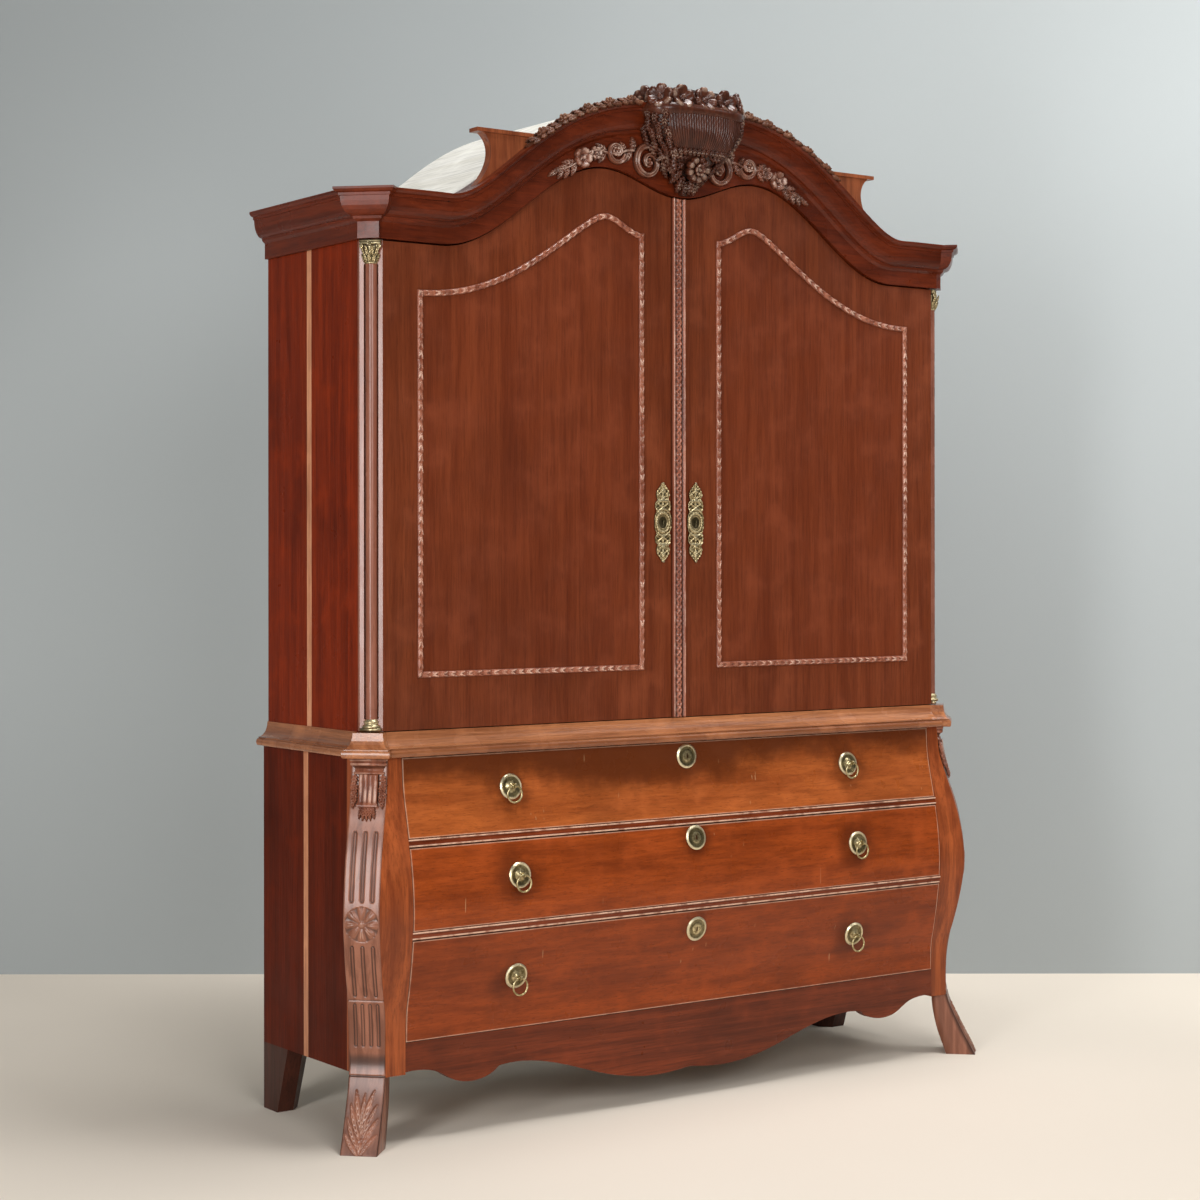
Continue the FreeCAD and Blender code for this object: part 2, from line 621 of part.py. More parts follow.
def chest_inside():
    between_sides = ("- chest_half_width + side_thick", "chest_half_width - side_thick")
    node(board("chest_floor", between_sides, ("post_depth", "case_depth - back_thick"),
               ("apron_top - runner_height - chest_floor_thick", "apron_top - runner_height")))
    node(board("chest_lid", between_sides, ("waist_inside", "case_depth - back_thick"),
               ("waist_bottom", "waist_bottom + chest_lid_thick")))
    back_boards("chest_back", total("chest_half_width - side_thick"), size("side_foot"),
                size("waist_top"), None)
    tops = [size("apron_top"), total("rail_lower_place + rail_height"), total("rail_upper_place + rail_height")]
    node(shaped("drawer_runners", Part.makeCompound(
        [runner(side, top, size("post_depth")) for top in tops for side in (-1, 1)])))


# ---------------------------------------------------------------- waist moulding

def waist_stations():
    """The waist profile from its top edge down, as share of the reach and height over its underside."""
    high, bead, groove = size("waist_height"), size("waist_bead"), size("waist_groove")
    hollow = bead + groove
    cove = []
    for step in range(7):
        angle = math.pi / 2 * step / 6
        cove.append((0.08 + 0.78 * (1 - math.cos(angle)), high - (high - hollow) * math.sin(angle)))
    round_bead = []
    for step in range(7):
        angle = math.pi * (0.5 - step / 6)
        round_bead.append((0.86 + 0.14 * math.cos(angle), bead / 2 + bead / 2 * math.sin(angle)))
    return [(0.0, high)] + cove + [(0.80, hollow), (0.80, bead)] + round_bead


def moulding_face(stations, inside, place):
    """A closed section: its stations in front, straight at the back."""
    outline = [place(share, z) for share, z in stations]
    top, bottom = stations[0][1], stations[-1][1]
    return polygon([place(inside, top)] + outline + [place(inside, bottom)])


def ressaut(stations, half, reach, grow, back, base):
    """A moulding that breaks forward round three sides of a corner block."""
    rims = []
    for share, z in stations:
        wide, deep = half + grow * share, reach + grow * share
        rims.append([corner(back, -wide, base + z), corner(deep, -wide, base + z),
                     corner(deep, wide, base + z), corner(back, wide, base + z)])
    faces = [polygon(rims[0]), polygon(rims[-1])]
    for upper, lower in zip(rims, rims[1:]):
        faces += [polygon([upper[k], upper[k + 1], lower[k + 1], lower[k]]) for k in range(3)]
    faces.append(polygon([rim[0] for rim in rims] + [rim[3] for rim in reversed(rims)]))
    return solid_of(faces)


def corner_zone(half, grow, front, side, back):
    """All that belongs to a corner block: its bounds are the mitres with the front and side mouldings.

    half is the block's half width at the door face's depth; grow is its growth to the moulding's edge,
    where the front moulding has come forward by front and the side moulding has gone outwards by side.
    """
    setback, inner, outer = total("0.5*cant"), total("case_half_width - cant"), size("case_half_width")

    def mitre(wide, depth, way):
        met = corner((setback + depth) / ROOT_HALF - wide, way * wide, 0)
        return V(met.x, met.y, 0)
    near, far = mitre(half, 0, -1), mitre(half + grow, front, -1)
    near_side, far_side = mitre(half, 0, 1), mitre(half + grow, side, 1)
    tip, tip_side = near + (far - near) * 4, near_side + (far_side - near_side) * 8
    points = [V(inner, back, 0), V(inner, 0, 0), near, tip, V(tip_side.x, tip.y, 0), tip_side, near_side,
              V(outer, back, 0)]
    return polygon(points).extrude(V(0, 0, FAR))


def corner_core(back, base, height):
    """The part of a corner block that fills the corner behind the cant."""
    span = (total("case_half_width - cant"), size("case_half_width"))
    return block(span, (0, back), (base, base + height)).cut(corner_slab((0, FAR), (-FAR, FAR), (0, FAR)))


def hinge_axis():
    return V(total("case_half_width - pin_inset"), total("cant + corner_return - pin_inset"), 0)


def socket(z):
    """The hole that a hinge pin turns in, from z upwards."""
    bore = total("pin_radius + pin_play")
    return Part.makeCylinder(bore, total("pin_length + door_gap"), hinge_axis() + V(0, 0, z))


def waist():
    base, stations = size("waist_bottom"), waist_stations()
    reach, side_reach, inside = size("waist_reach"), size("waist_side_reach"), size("waist_inside")
    outer = size("case_half_width")

    def at_front(share, z):
        return V(-outer, -reach * share, base + z)

    def at_side(share, z):
        return V(outer + side_reach * share, 0, base + z)
    front = moulding_face(stations, -inside / reach, at_front).extrude(V(2 * outer, 0, 0))
    seat = total("chest_half_width - side_thick") - outer
    side = moulding_face(stations, seat / side_reach, at_side).extrude(V(0, size("case_depth") - inside, 0))
    side.translate(V(0, inside, 0))
    side = side.fuse(moulding_face(stations, 0, at_side).extrude(V(0, inside, 0))).removeSplitter()
    half, flare = size("waist_block_half"), size("waist_block_flare")
    zone = corner_zone(half, flare, reach, side_reach, inside)
    corner_block = ressaut(stations, half, size("waist_block_reach"), flare, -size("cant"), base)
    corner_block = corner_block.fuse(corner_core(inside, base, size("waist_height"))).common(zone)
    corner_block = corner_block.cut(socket(base + size("waist_height") - size("pin_length")))
    front = front.cut([zone, zone.mirror(V(0, 0, 0), V(1, 0, 0))])
    node(shaped("waist_moulding_front", largest(front)))
    node(shaped("waist_returns", both(Part.makeCompound([largest(side.cut(zone)), largest(corner_block)]))))


# ---------------------------------------------------------------- drawers

def drawer_levels(number):
    """Opening of a drawer: top of the rail below it and underside of what is above it."""
    floor = {1: "rail_upper_place + rail_height", 2: "rail_lower_place + rail_height", 3: "apron_top"}[number]
    roof = {1: "waist_bottom", 2: "rail_upper_place", 3: "rail_lower_place"}[number]
    return floor, roof


def sketch_on(body, role, name):
    sketch = body.newObject("Sketcher::SketchObject", name)
    plane = [feature for feature in body.Origin.OriginFeatures if feature.Role == role][0]
    sketch.AttachmentSupport = [(plane, "")]
    sketch.MapMode = "FlatFace"
    return sketch


def bound_circle(sketch, radius, height):
    """A circle on the sketch's upright axis, its radius and height tied to the sheet."""
    middle = V(0, total(height), 0)
    index = sketch.addGeometry(Part.Circle(middle, V(0, 0, 1), total(radius)), False)
    constrain(sketch, ("Radius", index), radius)
    constrain(sketch, ("DistanceX", -1, 1, index, 3), "0")
    constrain(sketch, ("DistanceY", -1, 1, index, 3), height)


def constrain(sketch, measured, text):
    place = sketch.addConstraint(Sketcher.Constraint(*measured, total(text)))
    if text != "0":
        bind(sketch, "Constraints[%d]" % place, text)


def bound_outline(sketch, points):
    """A closed outline of straight lines, every corner tied to the sheet."""
    count = len(points)
    places = [V(total(x), total(y), 0) for x, y in points]
    for index in range(count):
        sketch.addGeometry(Part.LineSegment(places[index], places[(index + 1) % count]), False)
    for index in range(count):
        sketch.addConstraint(Sketcher.Constraint("Coincident", index, 2, (index + 1) % count, 1))
    for index, (x, y) in enumerate(points):
        constrain(sketch, ("DistanceX", -1, 1, index, 1), x)
        constrain(sketch, ("DistanceY", -1, 1, index, 1), y)


def turned_body(label, stations):
    """A turned piece: radius and height of each station tied to the sheet, turned about its Z axis."""
    body = DOC.addObject("PartDesign::Body", label)
    body.Label = label
    profile = sketch_on(body, "XZ_Plane", label + "_profile")
    bound_outline(profile, stations)
    turn = body.newObject("PartDesign::Revolution", label + "_turn")
    turn.Profile = profile
    turn.ReferenceAxis = (profile, ["V_Axis"])
    turn.Angle = 360.0
    return body


def through_pocket(body, sketch, name):
    """A pocket both ways through the piece; it must take material away."""
    DOC.recompute()
    before = body.Shape.Volume
    pocket = body.newObject("PartDesign::Pocket", name)
    pocket.Profile = sketch
    pocket.Type = 1
    pocket.Midplane = True
    DOC.recompute()
    if body.Shape.Volume >= before:
        raise ValueError(name + " cuts nothing")


def pull_plate(label):
    """A dished brass plate with a neck and an eye for the ring."""
    body = turned_body(label, [
        ("0", "0"), ("pull_radius", "0"), ("pull_radius", "0.5*pull_rim"), ("pull_radius - 3", "pull_rim"),
        ("0.5*pull_radius", "0.5*pull_rim"), ("pull_neck + 4", "pull_rim"), ("pull_neck", "pull_rim + 3"),
        ("pull_neck", "eye_standoff - 0.5*eye_radius - 0.5*eye_bore"),
        ("0", "eye_standoff - 0.5*eye_radius - 0.5*eye_bore")])
    eye_sketch = sketch_on(body, "YZ_Plane", label + "_eye_outline")
    bound_circle(eye_sketch, "eye_radius", "eye_standoff")
    eye = body.newObject("PartDesign::Pad", label + "_eye")
    eye.Profile = eye_sketch
    bind(eye, "Length", "eye_width")
    eye.Midplane = True
    hole = sketch_on(body, "YZ_Plane", label + "_eye_hole")
    bound_circle(hole, "eye_bore", "eye_standoff")
    through_pocket(body, hole, label + "_bore")
    return body


def lock_plate(label):
    """A round brass plate with a keyhole."""
    body = turned_body(label, [
        ("0", "0"), ("lock_plate_radius", "0"), ("lock_plate_radius", "0.4*lock_plate_thick"),
        ("lock_plate_radius - 4", "lock_plate_thick"), ("0.6*lock_plate_radius", "0.6*lock_plate_thick"),
        ("0.35*lock_plate_radius", "lock_plate_thick"), ("0", "lock_plate_thick")])
    slot = sketch_on(body, "XY_Plane", label + "_keyhole")
    bound_outline(slot, [
        ("- keyhole_radius", "- 0.5*keyhole_length"), ("keyhole_radius", "- 0.5*keyhole_length"),
        ("0.6*keyhole_radius", "0.5*keyhole_length"), ("- 0.6*keyhole_radius", "0.5*keyhole_length")])
    through_pocket(body, slot, label + "_keyhole_cut")
    return body


def seat_on_front(x, z, radius):
    """Placement of a flat-backed plate on the bombe front, clear of its curve all over."""
    depth, normal = surface_at(z)
    rise = 0.0
    for share in (-1.0, -0.5, 0.5, 1.0):
        level = z + share * radius * abs(normal.y)
        y, _ = surface_at(level)
        rise = max(rise, (V(0, y, level) - V(0, depth, z)).dot(normal))
    seat = V(x, depth, z) + normal * (rise + size("brass_gap"))
    turn = FreeCAD.Rotation(V(1, 0, 0), V(0, normal.z, -normal.y), normal, "ZXY")
    return FreeCAD.Placement(seat + V(0, total(FACE), 0), turn)


def ring(label, seat):
    """A ring that hangs through the eye of its plate."""
    torus = DOC.addObject("Part::Torus", label)
    torus.Label = label
    bind(torus, "Radius1", "ring_radius")
    bind(torus, "Radius2", "ring_wire")
    eye = seat.multVec(V(0, 0, size("eye_standoff")))
    torus.Placement = FreeCAD.Placement(eye - V(0, 0, size("ring_radius")), FreeCAD.Rotation(V(1, 0, 0), 90))
    return torus


def drawer(number):
    name = "drawer_%d" % number
    floor, roof = drawer_levels(number)
    half = total("front_half_width - drawer_gap_side")
    low, high = total(floor + " + drawer_gap"), total(roof + " - drawer_gap_top")
    front = FRONT.common(block((-half, half), (-FAR, FAR), (low, high))).cut(FRONT_INSIDE)
    node(shaped(name + "_front", largest(front)))

    thick, back = size("drawer_side_thick"), size("drawer_length")
    edge_low, edge_high = total(floor + " + runner_gap"), high - size("drawer_side_drop")
    walls = []
    for x in ((-half, -half + thick), (half - thick, half)):
        walls.append(FRONT_INSIDE.common(block(x, (-FAR, back), (edge_low, edge_high))))
    base = edge_low + size("drawer_bottom_place")
    top_of_bottom = base + size("drawer_bottom_thick")
    walls.append(block((-half + thick, half - thick), (back - thick, back), (top_of_bottom, edge_high)))
    walls.append(FRONT_INSIDE.common(block((-half + thick, half - thick), (-FAR, back), (base, top_of_bottom))))
    node(shaped(name + "_box", Part.makeCompound([largest(wall) for wall in walls])))

    pulls = []
    level = size("pull_height_%d" % number)
    for side, word in ((-1, "left"), (1, "right")):
        plate = pull_plate("%s_pull_plate_%s" % (name, word))
        plate.Placement = seat_on_front(side * size("pull_place"), level, size("pull_radius"))
        pulls.append(plate)
        node(ring("%s_ring_%s" % (name, word), plate.Placement))
    plate = lock_plate(name + "_lock_plate")
    plate.Placement = seat_on_front(0.0, size("lock_height_%d" % number), size("lock_plate_radius"))
    node(group(name + "_brasses", pulls + [plate]))


# ---------------------------------------------------------------- outlines of arch and doors

def half_wave(share):
    """1 at the start, 0 at the end, level at both."""
    return 0.5 * (1 + math.cos(math.pi * share))


def frieze_edge(x):
    """Height of the frieze's lower edge at x."""
    x = abs(x)
    peak, foot, rise = size("lobe_place"), size("lobe_foot"), size("lobe_rise")
    if x <= peak:
        return size("frieze_end") + rise - (rise - size("cusp_rise")) * half_wave(x / peak)
    return size("frieze_end") + rise * half_wave(min(1.0, (x - peak) / (foot - peak)))


def arch_line(x):
    """Height of the line between frieze and cornice at x."""
    share = min(1.0, abs(x) / size("arch_half_span"))
    return total("frieze_end + frieze_height") + size("arch_rise") * half_wave(share ** 1.58)


def above_arch(x, distance):
    """Height at x of the line that runs beside the arch line, square to it, at a distance."""
    foot = x
    for _ in range(25):
        slope = arch_line(foot + 0.5) - arch_line(foot - 0.5)
        foot = x + distance * slope / math.hypot(1, slope)
    slope = arch_line(foot + 0.5) - arch_line(foot - 0.5)
    return arch_line(foot) + distance / math.hypot(1, slope)


def traced(height, start, end, count, y=0.0):
    """A smooth edge through points of a height function."""
    step = (end - start) / count
    return spline([V(start + step * index, y, height(start + step * index)) for index in range(count + 1)])


def arch_parallel(distance, limit, y=0.0, count=36):
    """Points of a line beside the arch line, so far above it, out to x = limit on both sides."""
    points = []
    for index in range(count + 1):
        x = limit * (2.0 * index / count - 1)
        slope = (arch_line(x + 0.5) - arch_line(x - 0.5))
        normal = V(-slope, 0, 1).normalize()
        points.append(V(x, y, arch_line(x)) + normal * distance)
    return points


def band(lower, upper):
    """The face between two edges that run the same way."""
    ends = [Part.makeLine(lower.valueAt(lower.FirstParameter), upper.valueAt(upper.FirstParameter)),
            Part.makeLine(lower.valueAt(lower.LastParameter), upper.valueAt(upper.LastParameter))]
    return closed([lower, upper] + ends)


# ---------------------------------------------------------------- cornice, frieze and roof

def cornice_stations():
    """The cornice profile from the top down: share from frieze face to edge, height over the arch line."""
    high = size("cornice_height")
    crown = [(1.0, high), (1.0, 0.93 * high), (0.9, 0.86 * high), (0.77, 0.83 * high), (0.77, 0.75 * high)]
    cove = []
    for step in range(7):
        angle = math.pi / 2 * step / 6
        cove.append((0.2 + 0.5 * math.cos(angle), (0.16 + 0.58 * (1 - math.sin(angle))) * high))
    return crown + cove + [(0.16, 0.08 * high), (0.0, 0.0)]


def front_cornice():
    """The moulding that follows the arch: every line of its profile runs beside the arch line."""
    limit = total("case_half_width - 0.5*cant")
    reach, depth = size("frieze_reach"), total("cornice_reach - frieze_reach")
    section = [(-reach - depth * share, z) for share, z in cornice_stations()]
    section += [(size("frieze_back"), 0.0), (size("frieze_back"), size("cornice_height"))]
    lines = [spline(arch_parallel(z, limit, y)) for y, z in section]
    faces = [Part.makeRuledSurface(line, lines[index - 1]) for index, line in enumerate(lines)]
    for end in (0, -1):
        faces.append(polygon([line.Vertexes[end].Point for line in lines]))
    return solid_of(faces)


def frieze_board():
    """The frieze: its lower edge follows the doors, its upper edge carries the cornice."""
    limit = total("case_half_width - 0.5*cant")
    lower = [traced(frieze_edge, 0, size("lobe_place"), 8)]
    lower += [traced(frieze_edge, size("lobe_place"), size("lobe_foot"), 14)]
    lower += [Part.makeLine(V(size("lobe_foot"), 0, size("frieze_end")), V(limit, 0, size("frieze_end")))]
    lower += [edge.mirror(V(0, 0, 0), V(1, 0, 0)) for edge in lower]
    upper = spline(arch_parallel(0.0, limit))
    ends = [Part.makeLine(V(side * limit, 0, size("frieze_end")), V(side * limit, 0, arch_line(limit)))
            for side in (-1, 1)]
    face = closed(lower + [upper] + ends)
    face.translate(V(0, -size("frieze_reach"), 0))
    return face.extrude(V(0, total("frieze_reach + frieze_back"), 0))


def cornice():
    base = size("frieze_end")
    full = size("frieze_height")
    stations = [(share, full + z) for share, z in cornice_stations()] + [(0.0, 0.0)]
    grow, face = total("cornice_reach - frieze_reach"), size("frieze_reach")
    half, side_reach, outer = size("cornice_block_half"), size("cornice_side_reach"), size("case_half_width")
    seat_y = size("side_front")
    height = total("frieze_height + cornice_height")
    zone = corner_zone(half, face + grow, face + grow, side_reach, seat_y)
    corner_block = ressaut(stations, half + face, size("cornice_block_reach") + face, grow, -size("cant"), base)
    corner_block = corner_block.fuse(corner_core(seat_y, base, height)).common(zone)
    corner_block = corner_block.cut(socket(base - size("door_gap")))

    zones = [zone, zone.mirror(V(0, 0, 0), V(1, 0, 0))]
    moulding = front_cornice().cut(zones)
    frieze = frieze_board().cut(zones)
    points = [V(outer + face + (side_reach - face) * share, 0, base + z) for share, z in stations]
    points += [V(outer, 0, base), V(outer, 0, base + height)]
    side = polygon(points).extrude(V(0, size("case_depth"), 0)).cut(zone)
    node(shaped("frieze_board", largest(frieze)))
    node(shaped("cornice_front", largest(moulding)))
    node(shaped("cornice_returns", both(Part.makeCompound([largest(side), largest(corner_block)]))))
    return largest(moulding), largest(frieze)


def under_line(line, depth):
    """All that lies under a curve, down to the floor."""
    first, last = line.valueAt(line.FirstParameter), line.valueAt(line.LastParameter)
    low_first, low_last = V(first.x, first.y, 0), V(last.x, last.y, 0)
    edges = [line, Part.makeLine(last, low_last)]
    edges += [Part.makeLine(low_last, low_first), Part.makeLine(low_first, first)]
    return closed(edges).extrude(V(0, depth, 0))


def roof_underside(limit):
    """The hollow under the barrel roof, as one tall solid to cut the back boards with."""
    line = spline(arch_parallel(total("cornice_height - roof_thick - roof_gap"), limit, size("frieze_back")))
    return under_line(line, total("case_depth - frieze_back"))


def roof():
    """Thin boards bent over the arch from the cornice to the back."""
    limit = size("case_half_width")
    back = size("frieze_back")
    lower = spline(arch_parallel(total("cornice_height - roof_thick"), limit, back))
    upper = spline(arch_parallel(size("cornice_height"), limit, back))
    shell = band(lower, upper).extrude(V(0, total("case_depth - frieze_back"), 0))
    keep = block((-limit, limit), (total("side_front"), FAR), (0, FAR))
    middle = total("case_half_width - cant")
    keep = keep.fuse(block((-middle, middle), (back, FAR), (0, FAR)))
    node(shaped("case_roof", largest(shell.common(keep))))


def vase_stands():
    """Flat ears that stand on the cornice, each with a hollowed outer side and a thin cap."""
    top, cap = size("stand_top"), size("stand_cap")
    outer, hollow_x, front = size("stand_outer"), size("stand_waist"), -size("stand_setback")

    def rest(x):
        return above_arch(x, total("cornice_height + seat_gap"))
    near, far = outer, 0.0
    while near - far > 0.01:
        middle = 0.5 * (near + far)
        near, far = (middle, far) if rest(middle) < top - cap else (near, middle)
    base, tip = V(outer, 0, rest(outer)), V(near, 0, rest(near))
    neck = V(outer - 2 * cap, 0, tip.z)
    hollow = V(hollow_x, 0, 0.65 * neck.z + 0.35 * base.z)
    swell = V(hollow_x + cap, 0, 0.36 * neck.z + 0.64 * base.z)
    edges = [spline([neck, hollow, swell, base]), traced(rest, outer, near, 12), Part.makeLine(tip, neck)]
    face = closed(edges)
    face.translate(V(0, front, 0))
    ear = face.extrude(V(0, size("stand_thick"), 0))
    over = size("stand_cap_over")
    lid = block((near, outer), (front - over, front + size("stand_thick") + over), (tip.z, top))
    node(shaped("vase_stands", both(ear.fuse(lid).removeSplitter())))


def closed_under_parallel(distance):
    """All that lies under a line beside the arch line."""
    limit = total("case_half_width - 0.5*cant")
    return under_line(spline(arch_parallel(distance, limit, -FAR / 2)), FAR)


def crest(moulding, frieze):
    """The carved cartouche: a swelling field under a band of flowers, drawn in to a pendant."""
    reach, half = size("crest_reach"), size("crest_half")
    tip = total("frieze_end + cusp_rise + pendant_gap")
    stations = [
        (size("crest_top"), 0.9, 0.86), (size("crest_band"), 1.0, 0.97), (size("crest_field"), 0.98, 1.0),
        (0.5 * (size("crest_field") + size("crest_waist")), 0.93, 1.0), (size("crest_waist"), 0.72, 0.86),
        (0.5 * (size("crest_waist") + tip), 0.42, 0.52), (tip, 0.12, 0.22),
    ]
    wires = []
    for z, wide, deep in stations:
        left, right, front = V(-half * wide, 0, z), V(half * wide, 0, z), V(0, -reach * deep, z)
        shoulder = 0.72
        bow = spline([left, V(-half * wide * 0.92, -reach * deep * shoulder, z), front,
                      V(half * wide * 0.92, -reach * deep * shoulder, z), right])
        wires.append(Part.Wire([bow, Part.makeLine(right, left)]))
    body = Part.makeLoft(wires, True, True)
    body = body.cut([moulding, frieze, closed_under_parallel(size("cornice_height") - 0.01).common(
        block((-FAR, FAR), (-size("frieze_reach"), FAR), (0, FAR)))])
    cartouche = largest(body)
    node(shaped("crest_cartouche", cartouche))
    return cartouche


def carvings(moulding, cartouche):
    """Leaf garlands along the top edge of the cornice and tendrils on the frieze, beside the crest."""
    radius, limit = size("garland_radius"), total("case_half_width - 0.5*cant")
    seat_y = -total("cornice_reach - garland_radius")
    line = arch_parallel(total("cornice_height"), limit, seat_y, 60)
    run = [point for point in line if size("garland_inner") <= point.x <= size("garland_outer")]
    path = Part.Wire([spline(run)])
    ring_wire = Part.Wire([Part.makeCircle(radius, run[0], run[1] - run[0])])
    pipe = Part.BRepOffsetAPI.MakePipeShell(path)
    pipe.setBiNormalMode(V(0, 1, 0))
    pipe.add(ring_wire, False, False)
    pipe.build()
    pipe.makeSolid()
    garland = Part.Solid(pipe.shape()).cut([closed_under_parallel(size("cornice_height")), cartouche])

    inner, outer, width = size("tendril_inner"), size("tendril_outer"), size("tendril_half")
    count = 10
    upper, lower = [], []
    for index in range(count + 1):
        x = inner + (outer - inner) * index / count
        middle = 0.5 * (frieze_edge(x) + arch_line(x))
        room = 0.5 * (arch_line(x) - frieze_edge(x)) - 4
        half = min(room, width * (1 - 0.7 * index / count))
        upper.append(V(x, 0, middle + half))
        lower.append(V(x, 0, middle - half))
    tendril = band(spline(lower), spline(upper))
    tendril.translate(V(0, -total("frieze_reach + tendril_proud"), 0))
    tendril = tendril.extrude(V(0, size("tendril_proud"), 0)).cut([cartouche, moulding])
    node(shaped("crest_garlands", both(Part.makeCompound([largest(garland), largest(tendril)]))))


# ---------------------------------------------------------------- upper case

def shelf(label, place):
    inner_x = ("- case_half_width + side_thick", "case_half_width - side_thick")
    return board(label, inner_x, ("shelf_front", "case_depth - back_thick"), (place, place + " + shelf_thick"))


def case_boards():
    side_pair("case", "case_half_width", "side_front", "case_depth", "filler_place_case",
              ("waist_top", "side_top"))
    inner_x = ("- case_half_width + side_thick", "case_half_width - side_thick")
    node(board("case_floor", inner_x, ("side_front", "case_depth - back_thick"),
               ("waist_top", "waist_top + case_floor_thick")))
    node(group("case_shelves", [shelf("shelf_lower", "shelf_low"), shelf("shelf_upper", "shelf_high")]))
    cleats = []
    for side, word in ((-1, "left"), (1, "right")):
        x = mirrored("case_half_width - side_thick - cleat_size", "case_half_width - side_thick", side)
        for name in ("shelf_low", "shelf_high"):
            cleats.append(board("%s_cleat_%s" % (name, word), x, ("shelf_front", "case_depth - back_thick"),
                                (name + " - cleat_size", name)))
    node(group("shelf_cleats", cleats))
    half = total("case_half_width - side_thick")
    back_boards("case_back", half, total("waist_top"), size("crest_top"),
                roof_underside(half))


# ---------------------------------------------------------------- doors

def door_blank(side):
    """The flat part of a door: straight edges, and a top that follows the frieze."""
    low = total("waist_top + door_gap")
    outer, peak, foot = total("case_half_width - cant"), size("lobe_place"), size("lobe_foot")
    start = -size("meeting_place") if side > 0 else total("meeting_place + door_gap")

    def top(x):
        return frieze_edge(x) - size("door_gap_top")
    edges = [traced(top, start, 0, 3), traced(top, 0, peak, 8)] if side > 0 else [traced(top, start, peak, 8)]
    edges += [traced(top, peak, foot, 14), Part.makeLine(V(foot, 0, top(foot)), V(outer, 0, top(foot)))]
    edges += [Part.makeLine(V(outer, 0, top(foot)), V(outer, 0, low))]
    edges += [Part.makeLine(V(outer, 0, low), V(start, 0, low))]
    edges += [Part.makeLine(V(start, 0, low), V(start, 0, top(start)))]
    return one(closed(edges).extrude(V(0, size("door_thick"), 0)), side)


def panel_outline(inset):
    """The outline of a door's moulding on the right side, drawn in by inset."""
    inner, outer = size("panel_inner") + inset, size("panel_outer") - inset
    bottom, shoulder = size("panel_bottom") + inset, size("panel_shoulder") - inset
    peak = size("lobe_place")
    lobe, near = size("lobe_rise"), total("lobe_rise - panel_corner_drop")

    def falling(x):
        share = (x - peak) / (outer - peak)
        return shoulder + lobe * half_wave(max(0.0, min(1.0, share)) ** 0.65)

    def rising(x):
        share = (peak - x) / (peak - inner)
        return shoulder + near + (lobe - near) * half_wave(max(0.0, min(1.0, share)))
    outer_curve = traced(falling, outer, peak, 16)
    inner_curve = traced(rising, peak, inner, 8)
    outer_top, inner_top = V(outer, 0, falling(outer)), V(inner, 0, rising(inner))
    low_inner, low_outer = V(inner, 0, bottom), V(outer, 0, bottom)
    edges = [outer_curve, inner_curve, Part.makeLine(inner_top, low_inner)]
    edges += [Part.makeLine(low_inner, low_outer), Part.makeLine(low_outer, outer_top)]
    return closed(edges)


def corner_stile():
    """The canted stile glued to a door's outer edge, with a recess for its column."""
    low = total("waist_top + door_gap")
    high = total("frieze_end - door_gap")
    outer, cant = size("case_half_width"), size("cant")
    back = cant + size("corner_return")
    points = [V(outer - cant, 0, low), V(outer, cant, low), V(outer, back, low), V(outer - cant, back, low)]
    stile = polygon(points).extrude(V(0, 0, high - low))
    half = size("column_recess_half")
    recess = corner_slab((-size("column_recess"), FAR), (-half, half),
                         (low + size("base_height"), high - size("capital_height")))
    return stile.cut(recess)


def column():
    """The engaged column in the recess of a corner stile."""
    low = total("waist_top + door_gap + base_height")
    high = total("frieze_end - door_gap - capital_height")
    shaft = Part.makeCylinder(size("column_radius"), high - low, corner(-size("column_sink"), 0, low))
    return shaft.cut(corner_slab((-FAR, -size("column_recess")), (-FAR, FAR), (0, FAR)))


def column_mounts():
    """The brass capital and base at the ends of a column."""
    low = total("waist_top + door_gap")
    high = total("frieze_end - door_gap")
    half, proud = size("mount_half"), size("mount_proud")

    def stack(stations):
        return ressaut(stations, 0.6 * half, proud - 0.4 * half, 0.4 * half, 0, 0)
    foot, tall = size("base_height"), size("capital_height")
    base = stack([(0.72, low + foot), (0.8, low + 0.5 * foot), (1.0, low + 0.25 * foot), (1.0, low)])
    bell = high - tall
    capital = stack([(1.0, high), (0.95, high - 0.22 * tall), (0.72, bell + 0.3 * tall), (0.7, bell)])
    return [base, capital]


def hinge_pins():
    """A plate and pin let in at the foot and head of a corner stile."""
    low = total("waist_top + door_gap")
    high = total("frieze_end - door_gap")
    thick, axis = size("hinge_plate_thick"), hinge_axis()
    outer, back = size("case_half_width"), total("cant + corner_return")
    radius, length = size("pin_radius"), total("pin_length - 1")
    side = 2 * size("pin_inset")
    pieces = []
    for z, way in ((low, -1), (high, 1)):
        seat = z if way < 0 else z - thick
        plate = block((outer - 2.6 * side, outer - 1), (back - side + 1, back - 1), (seat, seat + thick))
        plate = plate.cut(corner_slab((-1.5, FAR), (-FAR, FAR), (0, FAR)))
        pin = Part.makeCylinder(radius, length, axis + V(0, 0, z), V(0, 0, way))
        pieces.append(plate.fuse(pin).removeSplitter())
    return pieces


